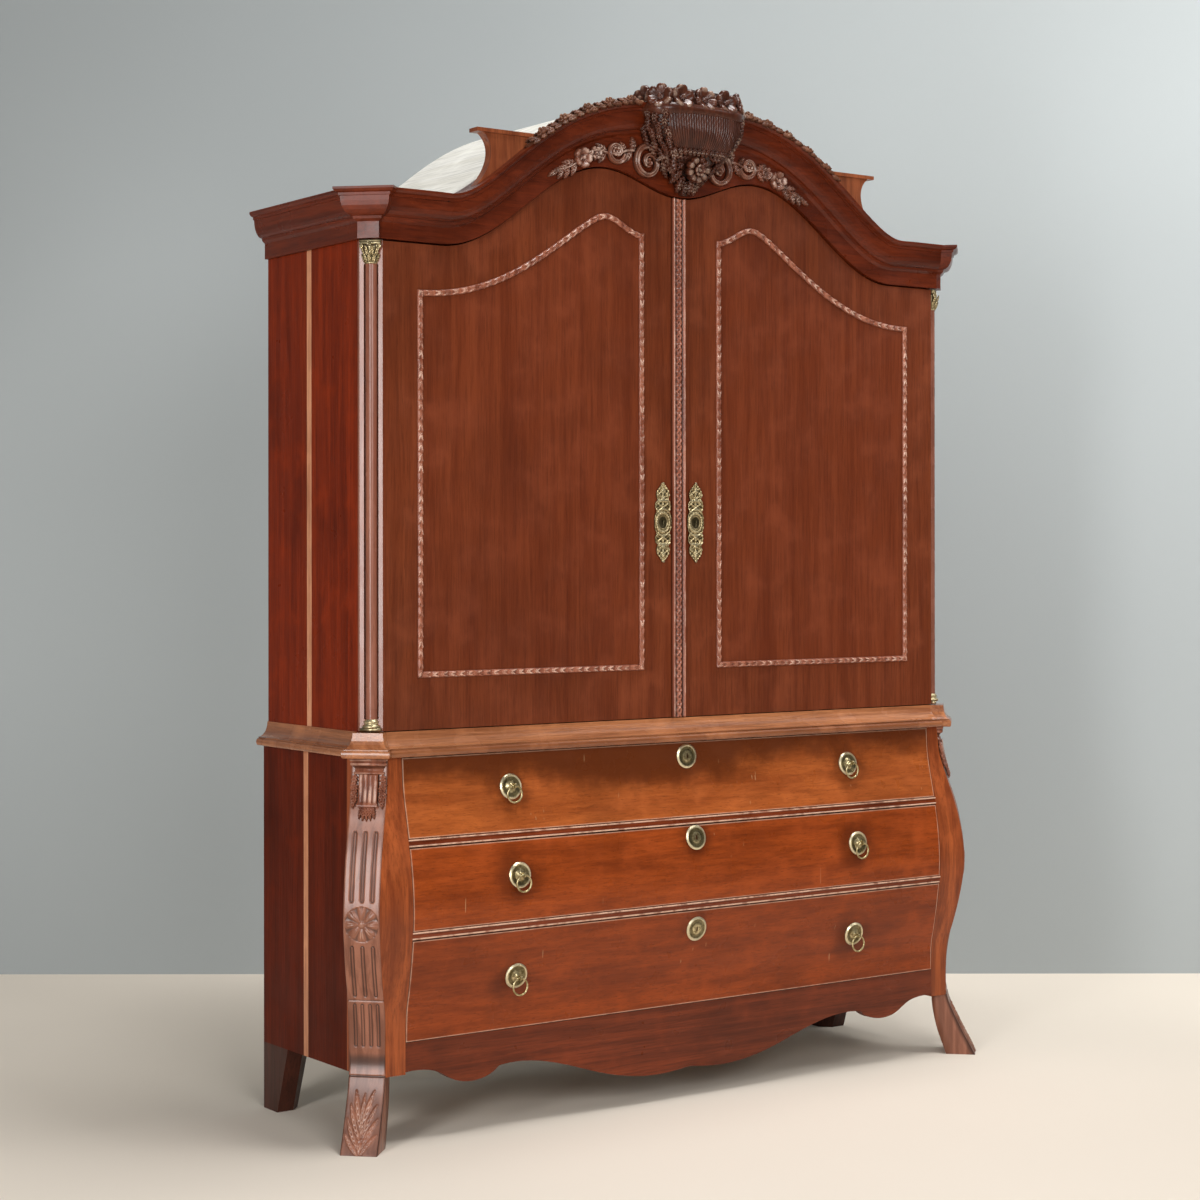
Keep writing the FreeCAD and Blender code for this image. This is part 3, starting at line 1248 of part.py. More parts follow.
def door_plate():
    """A tall lock plate: an oval boss between leafy lobes, drawn out to a point at both ends."""
    half, tall, thick = size("door_plate_half"), size("door_plate_height") / 2, size("door_plate_thick")
    quarter = [(1.0, 0.0), (0.98, 0.16), (0.8, 0.26), (0.94, 0.38), (0.86, 0.5), (0.66, 0.56), (0.8, 0.66),
               (0.72, 0.78), (0.4, 0.88), (0.0, 1.0)]
    right = [V(half * x, 0, tall * z) for x, z in quarter]
    right = [V(point.x, 0, -point.z) for point in reversed(right)] + right[1:]
    left = [V(-point.x, 0, point.z) for point in reversed(right)][1:-1]
    return polygon(right + left).extrude(V(0, -thick, 0))


def keyhole_cutter():
    """The keyhole of a door's lock plate, seen from the front."""
    radius, length = size("keyhole_radius"), size("keyhole_length")
    hole = Part.makeCylinder(radius, 10, V(0, 5, 0.3 * length), V(0, -1, 0))
    slot = block((-0.6 * radius, 0.6 * radius), (-5, 5), (-0.7 * length, 0.3 * length))
    return hole.fuse(slot)


def rim_lock():
    """The lock screwed inside the right door: a case with its bolt towards the meeting edge."""
    body = DOC.addObject("PartDesign::Body", "door_right_lock")
    body.Label = "door_right_lock"
    plan = sketch_on(body, "XY_Plane", "lock_plan")
    bound_outline(plan, [("0", "0"), ("lock_width", "0"), ("lock_width", "lock_thick"), ("0", "lock_thick")])
    pad = body.newObject("PartDesign::Pad", "lock_case")
    pad.Profile = plan
    bind(pad, "Length", "lock_height")
    hole = sketch_on(body, "XZ_Plane", "lock_keyhole")
    bound_outline(hole, [
        ("right_plate_place + meeting_place - keyhole_radius", "0.5*lock_height - 0.5*keyhole_length"),
        ("right_plate_place + meeting_place + keyhole_radius", "0.5*lock_height - 0.5*keyhole_length"),
        ("right_plate_place + meeting_place + keyhole_radius", "0.5*lock_height + 0.5*keyhole_length"),
        ("right_plate_place + meeting_place - keyhole_radius", "0.5*lock_height + 0.5*keyhole_length")])
    through_pocket(body, hole, "lock_keyhole_cut")
    bind(body, "Placement.Base.x", "- meeting_place")
    bind(body, "Placement.Base.y", "door_thick + " + FACE)
    bind(body, "Placement.Base.z", "door_plate_level - 0.5*lock_height")
    node(body)


def doors():
    mould_half = 0.5 * size("panel_mould_width")
    opening = panel_outline(mould_half).extrude(V(0, size("door_thick"), 0))
    panel = panel_outline(mould_half + size("panel_gap")).extrude(V(0, size("panel_thick"), 0))
    ring_face = panel_outline(0.0).cut(panel_outline(size("panel_mould_width")))
    moulding = ring_face.extrude(V(0, -size("panel_mould_proud"), 0))
    keyhole = keyhole_cutter()
    low = total("waist_top + door_gap")
    for side, word in ((-1, "left"), (1, "right")):
        blank = door_blank(side)
        frame = blank.cut(one(opening, side))
        seat = "left_plate_place" if side < 0 else "right_plate_place"
        lock_at = V(side * size(seat), 0, size("door_plate_level"))
        shaft = block((-size("keyhole_radius"), size("keyhole_radius")), (-1, FAR),
                      (-0.7 * size("keyhole_length"), 0.6 * size("keyhole_length")))
        frame = frame.cut(shaft.translated(lock_at))
        node(shaped("door_%s_frame" % word, split_frame(frame, side)))
        node(shaped("door_%s_panel" % word, one(panel, side)))
        node(shaped("door_%s_moulding" % word, one(moulding, side)))
        stile, pins = corner_stile(), hinge_pins()
        node(shaped("door_%s_corner_stile" % word, one(stile.cut(pins), side)))
        node(shaped("door_%s_column" % word, one(column(), side)))
        mounts = [one(piece, side) for piece in column_mounts() + pins]
        plate = door_plate().cut(keyhole).translated(lock_at)
        node(shaped("door_%s_brasses" % word, Part.makeCompound(mounts + [largest(plate)])))
    strip = block((-size("meeting_place"), total("astragal_width - meeting_place")),
                  (-size("astragal_thick"), 0), (low, FAR))
    cover = door_blank(1).translated(V(0, -size("astragal_thick"), 0))
    node(shaped("astragal", largest(strip.common(cover))))
    rim_lock()


def split_frame(frame, side):
    """A door frame as its four members: two stiles, an upper and a lower rail."""
    seam = 0.5 * size("panel_mould_width")
    inner, outer = size("panel_inner") + seam, size("panel_outer") - seam
    left, right = (inner, outer) if side > 0 else (-outer, -inner)
    middle = 0.5 * (size("panel_bottom") + size("panel_shoulder"))
    zones = [block((-FAR, left), (-FAR, FAR), (0, FAR)), block((right, FAR), (-FAR, FAR), (0, FAR))]
    zones += [block((left, right), (-FAR, FAR), (0, middle)), block((left, right), (-FAR, FAR), (middle, FAR))]
    members = []
    for zone in zones:
        members += frame.common(zone).Solids
    return Part.makeCompound(members)


# ---------------------------------------------------------------- assembly

chest_frame()
side_pair("chest", "chest_half_width", "post_depth", "case_depth", "filler_place_chest",
          ("side_foot", "waist_bottom"))
rails = [largest(rail(place)) for place in ("rail_lower_place", "rail_upper_place")]
node(shaped("drawer_rails", Part.makeCompound(rails)))
apron()
chest_inside()
waist()
for drawer_number in (1, 2, 3):
    drawer(drawer_number)
case_boards()
filler_strips()
cornice_moulding, frieze_shape = cornice()
roof()
vase_stands()
crest_shape = crest(cornice_moulding, frieze_shape)
carvings(cornice_moulding, crest_shape)
doors()
DOC.recompute()

problems = []
for thing in DOC.Objects:
    if "Invalid" in thing.State or "Error" in thing.State:
        problems.append("%s is %s" % (thing.Name, thing.State))
for thing in nodes:
    if thing.Shape.isNull() or not thing.Shape.isValid() or not thing.Shape.Solids:
        problems.append("%s has no valid solid" % thing.Label)
if problems:
    raise ValueError("; ".join(problems))

os.makedirs("parts", exist_ok=True)
for thing in nodes:
    thing.Shape.exportStep(os.path.join("parts", thing.Label + ".step"))
whole = Part.makeCompound([thing.Shape for thing in nodes]).BoundBox
print("%d nodes, x %.1f..%.1f y %.1f..%.1f z %.1f..%.1f" % (
    len(nodes), whole.XMin, whole.XMax, whole.YMin, whole.YMax, whole.ZMin, whole.ZMax))
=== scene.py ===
import math
import bmesh
import bpy
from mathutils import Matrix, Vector


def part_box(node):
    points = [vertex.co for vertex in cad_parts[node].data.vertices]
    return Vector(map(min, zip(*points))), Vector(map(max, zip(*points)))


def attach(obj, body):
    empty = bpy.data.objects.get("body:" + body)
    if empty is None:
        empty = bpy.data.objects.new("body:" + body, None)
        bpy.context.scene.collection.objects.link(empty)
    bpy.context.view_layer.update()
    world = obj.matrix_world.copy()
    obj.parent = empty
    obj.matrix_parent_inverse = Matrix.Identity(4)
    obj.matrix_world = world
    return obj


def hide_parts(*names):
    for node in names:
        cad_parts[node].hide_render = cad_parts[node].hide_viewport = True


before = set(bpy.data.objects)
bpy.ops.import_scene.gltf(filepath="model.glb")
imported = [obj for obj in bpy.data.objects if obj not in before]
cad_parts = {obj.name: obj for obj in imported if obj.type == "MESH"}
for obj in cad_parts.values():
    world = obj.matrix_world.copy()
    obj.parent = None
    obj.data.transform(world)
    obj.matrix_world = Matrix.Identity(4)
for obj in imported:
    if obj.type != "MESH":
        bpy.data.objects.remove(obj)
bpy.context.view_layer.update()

# ---------- where it stands
# The cupboard stands on a pale studio floor before a grey wall. A wide lamp hangs above it, a tall one
# stands at its left and a soft one in front of it; a dim lamp high at its right lights the wall behind.
VIEW_TURN = math.radians(35.65)
FLOOR_REACH, WALL_AWAY, WALL_REACH, WALL_TALL = 9, 7.48, 12, 8


def place_new(name, data):
    made = bpy.data.objects.new(name, data)
    bpy.context.scene.collection.objects.link(made)
    return made


camera = place_new("camera", bpy.data.cameras.new("camera"))
camera.data.lens = 70.76
camera.data.sensor_width = 36.0
camera.data.shift_y = -0.0361
camera.location = (-3.5395, -4.776, 1.3156)
camera.rotation_euler = (math.radians(90.0555), math.radians(0.0438), -VIEW_TURN)
bpy.context.scene.camera = camera
bpy.context.scene.view_settings.view_transform = "Standard"


def part(tree, kind, wires=None, **settings):
    """One node of a finish; each wire is a number, a colour or another node's socket."""
    made = tree.nodes.new("ShaderNode" + kind)
    for name, value in settings.items():
        setattr(made, name, value)
    for name, value in (wires or {}).items():
        socket = made.inputs[name]
        if isinstance(value, bpy.types.NodeSocket):
            tree.links.new(value, socket)
        else:
            socket.default_value = (*value, 1) if socket.type == "RGBA" else value
    return made


def new_finish(name):
    """An empty finish, its nodes, and the place of each point in the object's own coordinates."""
    finish = bpy.data.materials.new(name)
    finish.use_nodes = True
    tree = finish.node_tree
    tree.nodes.clear()
    return finish, tree, part(tree, "TexCoord").outputs["Object"]


def noise(tree, where, scale, detail, rough=0.5, twist=0.0):
    wires = {"Vector": where, "Scale": scale, "Detail": detail, "Roughness": rough, "Distortion": twist}
    return part(tree, "TexNoise", wires).outputs["Fac"]


def mixed(tree, amount, first, second):
    """Two colours laid over each other."""
    return part(tree, "Mix", {0: amount, 6: first, 7: second}, data_type="RGBA").outputs[2]


def spread(tree, value, low, high, to_low=0.0, to_high=1.0):
    """A value carried softly from one range to another."""
    wires = {"Value": value, "From Min": low, "From Max": high, "To Min": to_low, "To Max": to_high}
    return part(tree, "MapRange", wires, interpolation_type="SMOOTHSTEP").outputs["Result"]


def toned(colour, share):
    """A colour made darker or brighter."""
    return [min(1.0, share * channel) for channel in colour]


def take_mesh(work, name, finish):
    """Turn finished work into a mesh object with a finish."""
    mesh = bpy.data.meshes.new(name)
    work.to_mesh(mesh)
    work.free()
    mesh.materials.append(finish)
    return place_new(name, mesh)


def stage_sheet(name, corners, colour, one_sided=False):
    """A painted sheet of floor or wall; a one-sided one is clear from behind."""
    finish, tree, where = new_finish(name + "_paint")
    cloud = spread(tree, noise(tree, where, 0.35, 2.0), 0.35, 0.65)
    paint = mixed(tree, cloud, toned(colour, 0.86), colour)
    surface = part(tree, "BsdfDiffuse", {"Color": paint}).outputs["BSDF"]
    if one_sided:
        behind = part(tree, "NewGeometry").outputs["Backfacing"]
        clear = part(tree, "BsdfTransparent").outputs["BSDF"]
        surface = part(tree, "MixShader", {0: behind, 1: surface, 2: clear}).outputs[0]
    part(tree, "OutputMaterial", {"Surface": surface})
    sheet = bmesh.new()
    sheet.faces.new([sheet.verts.new(corner) for corner in corners])
    made = take_mesh(sheet, name, finish)


floor_corners = [(FLOOR_REACH * x, FLOOR_REACH * y, 0) for x, y in ((-1, -1), (1, -1), (1, 1), (-1, 1))]
stage_sheet("floor", floor_corners, (0.81, 0.73, 0.628))
ahead = Vector((math.sin(VIEW_TURN), math.cos(VIEW_TURN), 0))
aside = WALL_REACH * Vector((ahead.y, -ahead.x, 0))
wall_foot = Vector((camera.location.x, camera.location.y, 0)) + WALL_AWAY * ahead
wall_corners = [wall_foot - aside, wall_foot + aside]
wall_corners += [corner + Vector((0, 0, WALL_TALL)) for corner in reversed(wall_corners)]
stage_sheet("wall", wall_corners, (0.42, 0.45, 0.455), one_sided=True)

world = bpy.data.worlds.new("studio")
bpy.context.scene.world = world
world.use_nodes = True
daylight = world.node_tree.nodes["Background"].inputs
daylight["Color"].default_value = (0.83, 0.82, 0.8, 1)
daylight["Strength"].default_value = 0.14
for lamp_name, watts, wide, tall, fan, stand, aim in (
        ("lamp_above", 138, 2.6, 1.6, 140, (0.5, -1.1, 6.0), (0.2, -1.1, 0.0)),
        ("lamp_left", 142, 0.9, 2.8, 180, (-5.0, -2.7, 1.8), (-0.7, -0.2, 1.2)),
        ("lamp_front", 156, 2.6, 2.2, 180, (-2.2, -6.2, 3.0), (0.2, 0.0, 1.1)),
        ("lamp_right", 40, 2.4, 2.0, 64, (3.6, -2.3, 4.3), (2.9, 0.0, 2.4))):
    lamp = place_new(lamp_name, bpy.data.lights.new(lamp_name, "AREA"))
    lamp.data.shape = "RECTANGLE"
    lamp.data.energy = watts
    lamp.data.size = wide
    lamp.data.size_y = tall
    lamp.data.spread = math.radians(fan)
    lamp.location = stand
    lamp.rotation_euler = (Vector(aim) - lamp.location).to_track_quat("-Z", "Y").to_euler()

# ---------- sides of both cases
# The side walls are wide upright boards, stained a deep red brown and darker than the front.
# Years of wax have left them mottled; the grain runs upright.
UPRIGHT, LYING, RECEDING = (1.0, 1.0, 0.045), (0.045, 1.0, 1.0), (1.0, 0.045, 1.0)


def dress(finish, *names):
    """Give CAD nodes a finish."""
    for name in names:
        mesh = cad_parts[name].data
        mesh.materials.clear()
        mesh.materials.append(finish)


def calc(tree, operation, *values):
    return part(tree, "Math", dict(enumerate(values)), operation=operation).outputs[0]


def tinted(tree, colour, tone, share, value, low, high):
    """A tone laid over a colour, up to this share, where a value passes from low to high."""
    return mixed(tree, spread(tree, value, low, high, 0.0, share), colour, tone)


def close_finish(tree, colour, rough, reliefs, others):
    """Join colour, roughness and layers of fine relief (height, strength, distance) in one shader."""
    wires = {}
    for height, strength, distance in reliefs:
        wires.update({"Height": height, "Strength": strength, "Distance": distance})
        wires["Normal"] = part(tree, "Bump", wires).outputs["Normal"]
    wires = {"Base Color": colour, "Roughness": rough, "Normal": wires["Normal"], **others}
    part(tree, "OutputMaterial", {"Surface": part(tree, "BsdfPrincipled", wires).outputs["BSDF"]})


def waxed_wood(name, deep, warm, *nodes, grain=UPRIGHT, gloss=0.34, smoke=0.5, flecks=0.35, wax=0.16,
               even=0.0, shine=0.18, extra=None):
    """Stained and waxed wood on CAD nodes; grain squeezes the figure along the boards' length."""
    finish, tree, where = new_finish(name)
    along = part(tree, "Mapping", {"Vector": where, "Scale": grain}).outputs["Vector"]
    figure = noise(tree, along, 34.0, 6.0, 0.62, 0.5)
    lines = noise(tree, along, 230.0, 3.0)
    pores = noise(tree, along, 620.0, 1.0)
    cloud = noise(tree, where, 2.7, 4.0, 0.6)
    patch = noise(tree, where, 13.0, 3.0)
    dark, bright = toned(deep, 0.42), toned(warm, 1.25)
    colour = mixed(tree, spread(tree, figure, 0.33 - even, 0.68 + even), deep, warm)
    for tone, share, value, low, high in (
            (dark, 0.4 - even, lines, 0.42, 0.72), (bright, 0.4, patch, 0.5, 0.78),
            (dark, smoke, cloud, 0.46, 0.72), (dark, flecks, pores, 0.62, 0.7)):
        colour = tinted(tree, colour, tone, share, value, low, high)
    if extra:
        colour = extra(tree, where, colour, dark, bright)
    rough = spread(tree, patch, 0.3, 0.75, gloss - 0.05, gloss + 0.12)
    height = calc(tree, "ADD", lines, calc(tree, "MULTIPLY", figure, 0.6))
    close_finish(tree, colour, rough, ((height, 0.22, 0.0012), (patch, 0.07, 0.004)),
                 {"Specular IOR Level": shine, "Coat Weight": wax, "Coat Roughness": 0.26})
    dress(finish, *nodes)


waxed_wood("side_wood", (0.125, 0.0131, 0.0025), (0.25, 0.0281, 0.0052), "case_side_left", "case_side_right",
           smoke=0.5, gloss=0.32, wax=0.05, even=0.06, shine=0.06)
# The sides below the waist take a darker copy of the side finish: painted shade under the waist moulding and
# away from the lamps.
waxed_wood("low_side_shaded_wood", (0.0725, 0.009, 0.0022), (0.135, 0.0156, 0.0035), "chest_side_left",
           "chest_side_right", smoke=0.5, gloss=0.34, wax=0.03, even=0.05, shine=0.05)

# ---------- light strips in the sides
# Narrow strips of pale wood were glued into the shrinkage cracks of the sides and planed flush.
# They were never fully stained.
waxed_wood("strip_wood", (0.5, 0.188, 0.0875), (0.775, 0.362, 0.2), "filler_strips", smoke=0.25, gloss=0.38)

# ---------- inside, back and roof
# Backs, drawer boxes, runners and shelves are plain sawn oak, left raw and gone grey brown; the back feet
# are stained dark. The barrel roof of thin boards was never stained and has bleached almost white.
BOARD_WIDTH = 0.24
RAW_DEEP, RAW_WARM = (0.21, 0.125, 0.062), (0.34, 0.215, 0.115)


def board_tones(name):
    """Each upright board of a back has its own tone, and dust lies along the joints."""
    low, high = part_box(name)
    width = (high[0] - low[0]) / max(2, round((high[0] - low[0]) / BOARD_WIDTH))

    def tones(tree, where, colour, dark, bright):
        across = part(tree, "SeparateXYZ", {"Vector": where}).outputs["X"]
        boards = calc(tree, "DIVIDE", calc(tree, "SUBTRACT", across, low[0]), width)
        number = calc(tree, "ADD", calc(tree, "FLOOR", boards), 7.0 * low[2])
        tone = part(tree, "TexWhiteNoise", {"W": number}, noise_dimensions="1D").outputs["Value"]
        colour = mixed(tree, spread(tree, tone, 0.0, 0.5, 0.42, 0.0), colour, dark)
        colour = tinted(tree, colour, bright, 0.4, tone, 0.5, 1.0)
        edge = calc(tree, "ABSOLUTE", calc(tree, "SUBTRACT", calc(tree, "FRACT", boards), 0.5))
        return tinted(tree, colour, dark, 0.7, edge, 0.482, 0.499)
    return tones


for name in ("case_back", "chest_back"):
    waxed_wood(name + "_wood", RAW_DEEP, RAW_WARM, name,
               smoke=0.4, gloss=0.62, wax=0.0, extra=board_tones(name))
waxed_wood("raw_wood", RAW_DEEP, RAW_WARM, "case_floor", "case_shelves", "chest_floor", "chest_lid",
           grain=LYING, smoke=0.35, gloss=0.62, wax=0.0)
waxed_wood("runner_wood", RAW_DEEP, RAW_WARM, "shelf_cleats", "drawer_runners",
           grain=RECEDING, smoke=0.35, gloss=0.62, wax=0.0)
waxed_wood("box_wood", (0.24, 0.145, 0.07), (0.39, 0.25, 0.135), "drawer_1_box", "drawer_2_box",
           "drawer_3_box", grain=(0.045, 0.045, 1.0), smoke=0.3, gloss=0.6, wax=0.0)
waxed_wood("roof_wood", (0.7, 0.675, 0.6), (0.81, 0.79, 0.735), "case_roof",
           grain=(1.0, 0.05, 1.0), smoke=0.12, flecks=0.12, gloss=0.6, wax=0.0)
waxed_wood("foot_wood", (0.0375, 0.01, 0.005), (0.0813, 0.02, 0.01), "back_feet", smoke=0.5, gloss=0.4)

# ---------- front of the chest
# Posts, rails and the scalloped apron are of the same stained wood as the doors, but redder and warmer.
# The beads along the rails are painted pale, as wood rubbed down to the bare and as a painted highlight, and
# the waist moulding is waxed brightest.
# The pale tone of worn beads and edges, which is also their painted highlight.
BARE_WOOD_AND_HIGHLIGHT = (0.76, 0.5, 0.36)
RAIL_BEADS = (0.4654, 0.4786, 0.6714, 0.6846)


def band(tree, value, middle, reach):
    """One at the middle value, and softly nothing beyond the reach on both sides of it."""
    away = calc(tree, "ABSOLUTE", calc(tree, "SUBTRACT", value, middle))
    return spread(tree, away, reach, 0.4 * reach)


def rubbed_highlight_lines(axis, levels, reach, share):
    """Edges and beads at these levels are painted pale here and there, as wear down to the bare wood and as a
    painted highlight.
    """
    def lines(tree, where, colour, dark, bright):
        level = part(tree, "SeparateXYZ", {"Vector": where}).outputs[axis]
        wear_and_highlight = spread(tree, noise(tree, where, 45.0, 4.0), 0.3, 0.56, 0.25, share)
        for place in levels:
            near = calc(tree, "MULTIPLY", band(tree, level, place, reach), wear_and_highlight)
            colour = mixed(tree, near, colour, BARE_WOOD_AND_HIGHLIGHT)
        return colour
    return lines


waxed_wood("post_wood", (0.206, 0.0425, 0.0112), (0.4, 0.0938, 0.0238), "chest_corner_post_left",
           "chest_corner_post_right", smoke=0.35, gloss=0.33)
waxed_wood("lying_wood", (0.106, 0.0181, 0.0045), (0.204, 0.0363, 0.0094), "apron",
           grain=LYING, smoke=0.45, gloss=0.32)
waxed_wood("rail_wood", (0.12, 0.02, 0.005), (0.23, 0.042, 0.011), "drawer_rails",
           grain=LYING, smoke=0.45, gloss=0.28, extra=rubbed_highlight_lines("Z", RAIL_BEADS, 0.0024, 0.85))
for name, grain in (("waist_moulding_front", LYING), ("waist_returns", RECEDING)):
    waxed_wood(name + "_wood", (0.24, 0.076, 0.027), (0.48, 0.185, 0.074), name,
               grain=grain, smoke=0.25, gloss=0.22, wax=0.6)

# ---------- doors
# Each door is a wide flat leaf, its grain upright, waxed to a soft sheen over a red brown stain. The
# canted corner with its column is waxed brighter, and its paler, pinker colour is a painted reflection.
waxed_wood("door_wood", (0.12, 0.0225, 0.0063), (0.2, 0.045, 0.0144), "door_left_frame", "door_right_frame",
           smoke=0.3, gloss=0.36, even=0.1)
waxed_wood("panel_wood", (0.122, 0.0219, 0.0063), (0.195, 0.0413, 0.0131), "door_left_panel",
           "door_right_panel", smoke=0.3, gloss=0.36, even=0.12, flecks=0.25)
# The corner finish is paler and pinker than the doors: a painted reflection on the canted faces and columns,
# with more wax.
waxed_wood("corner_sheen_wood", (0.2, 0.064, 0.038), (0.33, 0.125, 0.078), "door_left_corner_stile",
           "door_right_corner_stile", "door_left_column", "door_right_column",
           smoke=0.25, gloss=0.24, even=0.08, wax=0.5)

# ---------- cornice and roof stands
# The arched frieze and its heavy moulding are glued up from short lengths, so the grain runs along them.
# The stands on the roof behind them are sawn from a redder board.
for name, grain in (("cornice_front", (0.09, 1.0, 1.0)), ("frieze_board", (0.09, 1.0, 1.0)),
                    ("cornice_returns", RECEDING)):
    waxed_wood(name + "_wood", (0.08, 0.0115, 0.003), (0.158, 0.0245, 0.0065), name,
               grain=grain, smoke=0.4, gloss=0.3, wax=0.12)
waxed_wood("stand_wood", (0.188, 0.045, 0.0163), (0.362, 0.103, 0.0375), "vase_stands",
           smoke=0.35, gloss=0.32)

# ---------- drawer fronts
# The swelling fronts are a lighter orange brown. Hands have darkened the stain round the pulls, the top
# drawer darkens raggedly towards its top edge under the waist, and the edges are painted pale as wear and a
# painted highlight.
BRASS_SPOTS = {number: ((-0.52, pulls), (0.52, pulls), (0.0, lock))
               for number, pulls, lock in ((1, 0.788, 0.833), (2, 0.587, 0.637), (3, 0.353, 0.415))}


def away_from(tree, where, x, z, level=1):
    """Distance from a spot on the front; a level of 0 leaves the height out."""
    flat = part(tree, "Mapping", {"Vector": where, "Location": (-x, 0, -z), "Scale": (1, 0, level)})
    return part(tree, "VectorMath", {0: flat.outputs["Vector"]}, operation="LENGTH").outputs["Value"]


def handled(number, dark_band_level):
    """Dark marks round the pulls and lock, a ragged dark band along the top under the waist, scratches, and
    pale edges of wear and painted highlight.
    """
    name = "drawer_%d_front" % number
    low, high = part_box(name)

    def marks(tree, where, colour, dark, bright):
        stain = None
        for (x, z), reach in zip(BRASS_SPOTS[number], (0.11, 0.11, 0.08)):
            near = spread(tree, away_from(tree, where, x, z), reach, 0.02)
            stain = near if stain is None else calc(tree, "MAXIMUM", stain, near)
        ragged = noise(tree, where, 7.0, 5.0, 0.65)
        stain = calc(tree, "MULTIPLY", stain, spread(tree, ragged, 0.3, 0.62))
        colour = tinted(tree, colour, dark, 0.72, stain, 0.0, 1.0)
        # The top drawer darkens raggedly towards its top edge, reaching lower near its middle.
        if dark_band_level:
            level = part(tree, "SeparateXYZ", {"Vector": where}).outputs["Z"]
            middle = spread(tree, away_from(tree, where, -0.12, 0, 0), 0.5, 0.05, 0.0, 0.055)
            lifted = calc(tree, "ADD", calc(tree, "MULTIPLY", ragged, 0.14), middle)
            lifted = calc(tree, "ADD", level, lifted)
            colour = tinted(tree, colour, dark, 0.94, lifted, dark_band_level, dark_band_level + 0.08)
        leaning = part(tree, "Mapping", {"Vector": where, "Rotation": (0, 0.9, 0), "Scale": (1, 1, 0.05)})
        lines = spread(tree, noise(tree, leaning.outputs["Vector"], 130.0, 1.0), 0.7, 0.74)
        few = spread(tree, noise(tree, where, 11.0, 2.0), 0.6, 0.66)
        scratch = calc(tree, "MULTIPLY", lines, few)
        colour = tinted(tree, colour, (0.55, 0.32, 0.16), 0.4, scratch, 0.0, 1.0)
        # Pale lines along the front's edges: wear and a painted highlight.
        for axis, edges in (("X", (low[0], high[0])), ("Z", (low[2], high[2]))):
            colour = rubbed_highlight_lines(axis, edges, 0.003, 0.45)(tree, where, colour, dark, bright)
        return colour
    return marks


for number, dark_band_level, deep, warm in (
        (1, 0.85, (0.255, 0.054, 0.0106), (0.48, 0.122, 0.0263)),
        (2, 0, (0.188, 0.0312, 0.0045), (0.375, 0.0688, 0.0106)),
        (3, 0, (0.156, 0.0256, 0.004), (0.319, 0.0562, 0.0088))):
    waxed_wood("front_wood_%d" % number, deep, warm, "drawer_%d_front" % number, grain=(0.1, 0.5, 1.0),
               smoke=0.35, gloss=0.3, flecks=0.45, wax=0.12, even=0.12, extra=handled(number, dark_band_level))

# ---------- carving on the chest: pilasters
# Each pilaster is cut on the diagonal from one length of wood, from the waist down to its splayed foot:
# three stopped flutes, a rosette, three flutes, four short channels, a smooth band and a leafy foot.
FACE = -0.1795
CHEST_CORNER, CORNER_DEPTH, HALF_ROOT = 0.863, 0.019 + FACE, math.sqrt(0.5)
PILASTER_TALL, PILASTER_HALF, FACE_COLUMNS, PILASTER_ROWS = 0.87, 0.042, 56, 520
ROSETTE_LEVEL, ROSETTE_REACH = 0.505, 0.039


def carved_wood(name, deep, warm, wear_and_highlight, gloss=0.34, wax=0.45):
    """Carved wood: old wax, grime and painted shade darken the hollows; wear and a painted highlight pale the
    raised parts.
    """
    finish, tree, where = new_finish(name)
    along = part(tree, "Mapping", {"Vector": where, "Scale": (1.0, 1.0, 0.08)}).outputs["Vector"]
    figure = noise(tree, along, 60.0, 5.0, twist=0.4)
    patch = noise(tree, where, 26.0, 4.0)
    grit = noise(tree, where, 420.0, 2.0)
    proud = part(tree, "Attribute", attribute_name="carving").outputs["Fac"]
    # Hollows get painted shade with grime; raised parts get a painted highlight with wear.
    grime_and_shade = toned(deep, 0.22)
    colour = mixed(tree, spread(tree, figure, 0.35, 0.66), deep, warm)
    wear_and_highlight_mask = calc(tree, "MULTIPLY", spread(tree, proud, 0.55, 1.0), spread(tree, patch, 0.35, 0.65))
    for tone, share, value, low, high in (
            (wear_and_highlight, 0.55, wear_and_highlight_mask, 0.0, 1.0), (grime_and_shade, 0.9, proud, 0.42, 0.0), (grime_and_shade, 0.3, grit, 0.6, 0.72)):
        colour = tinted(tree, colour, tone, share, value, low, high)
    rough = spread(tree, proud, 0.0, 1.0, gloss + 0.22, gloss - 0.04)
    close_finish(tree, colour, rough, ((figure, 0.25, 0.0008), (grit, 0.12, 0.0004)),
                 {"Specular IOR Level": 0.6 * wax, "Coat Weight": wax, "Coat Roughness": 0.24})
    return finish


def start_carving():
    work = bmesh.new()
    work.verts.layers.float.new("carving")
    return work


def add_roll(work, across, along, place):
    """A grid rolled into a tube: place(column, row) gives a corner and how proud it stands."""
    made = bmesh.ops.create_grid(work, x_segments=across, y_segments=along, size=0.5)["verts"]
    layer = work.verts.layers.float["carving"]
    for corner in made:
        column = round((corner.co.x + 0.5) * across) % across
        row = round((corner.co.y + 0.5) * along)
        corner.co, corner[layer] = place(column, row)


def finish_carving(work, name, finish, body, hides=()):
    """Close the seams and ends, point the faces outwards and hang the piece on its body."""
    bmesh.ops.remove_doubles(work, verts=work.verts, dist=0.00001)
    bmesh.ops.dissolve_degenerate(work, edges=work.edges, dist=0.000001)
    bmesh.ops.holes_fill(work, edges=[edge for edge in work.edges if edge.is_boundary], sides=0)
    bmesh.ops.recalc_face_normals(work, faces=work.faces)
    piece = take_mesh(work, name, finish)
    piece.data.shade_smooth()
    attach(piece, body)
    if hides:
        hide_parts(*hides)


def clamped(value, low=0.0, high=1.0):
    return min(high, max(low, value))


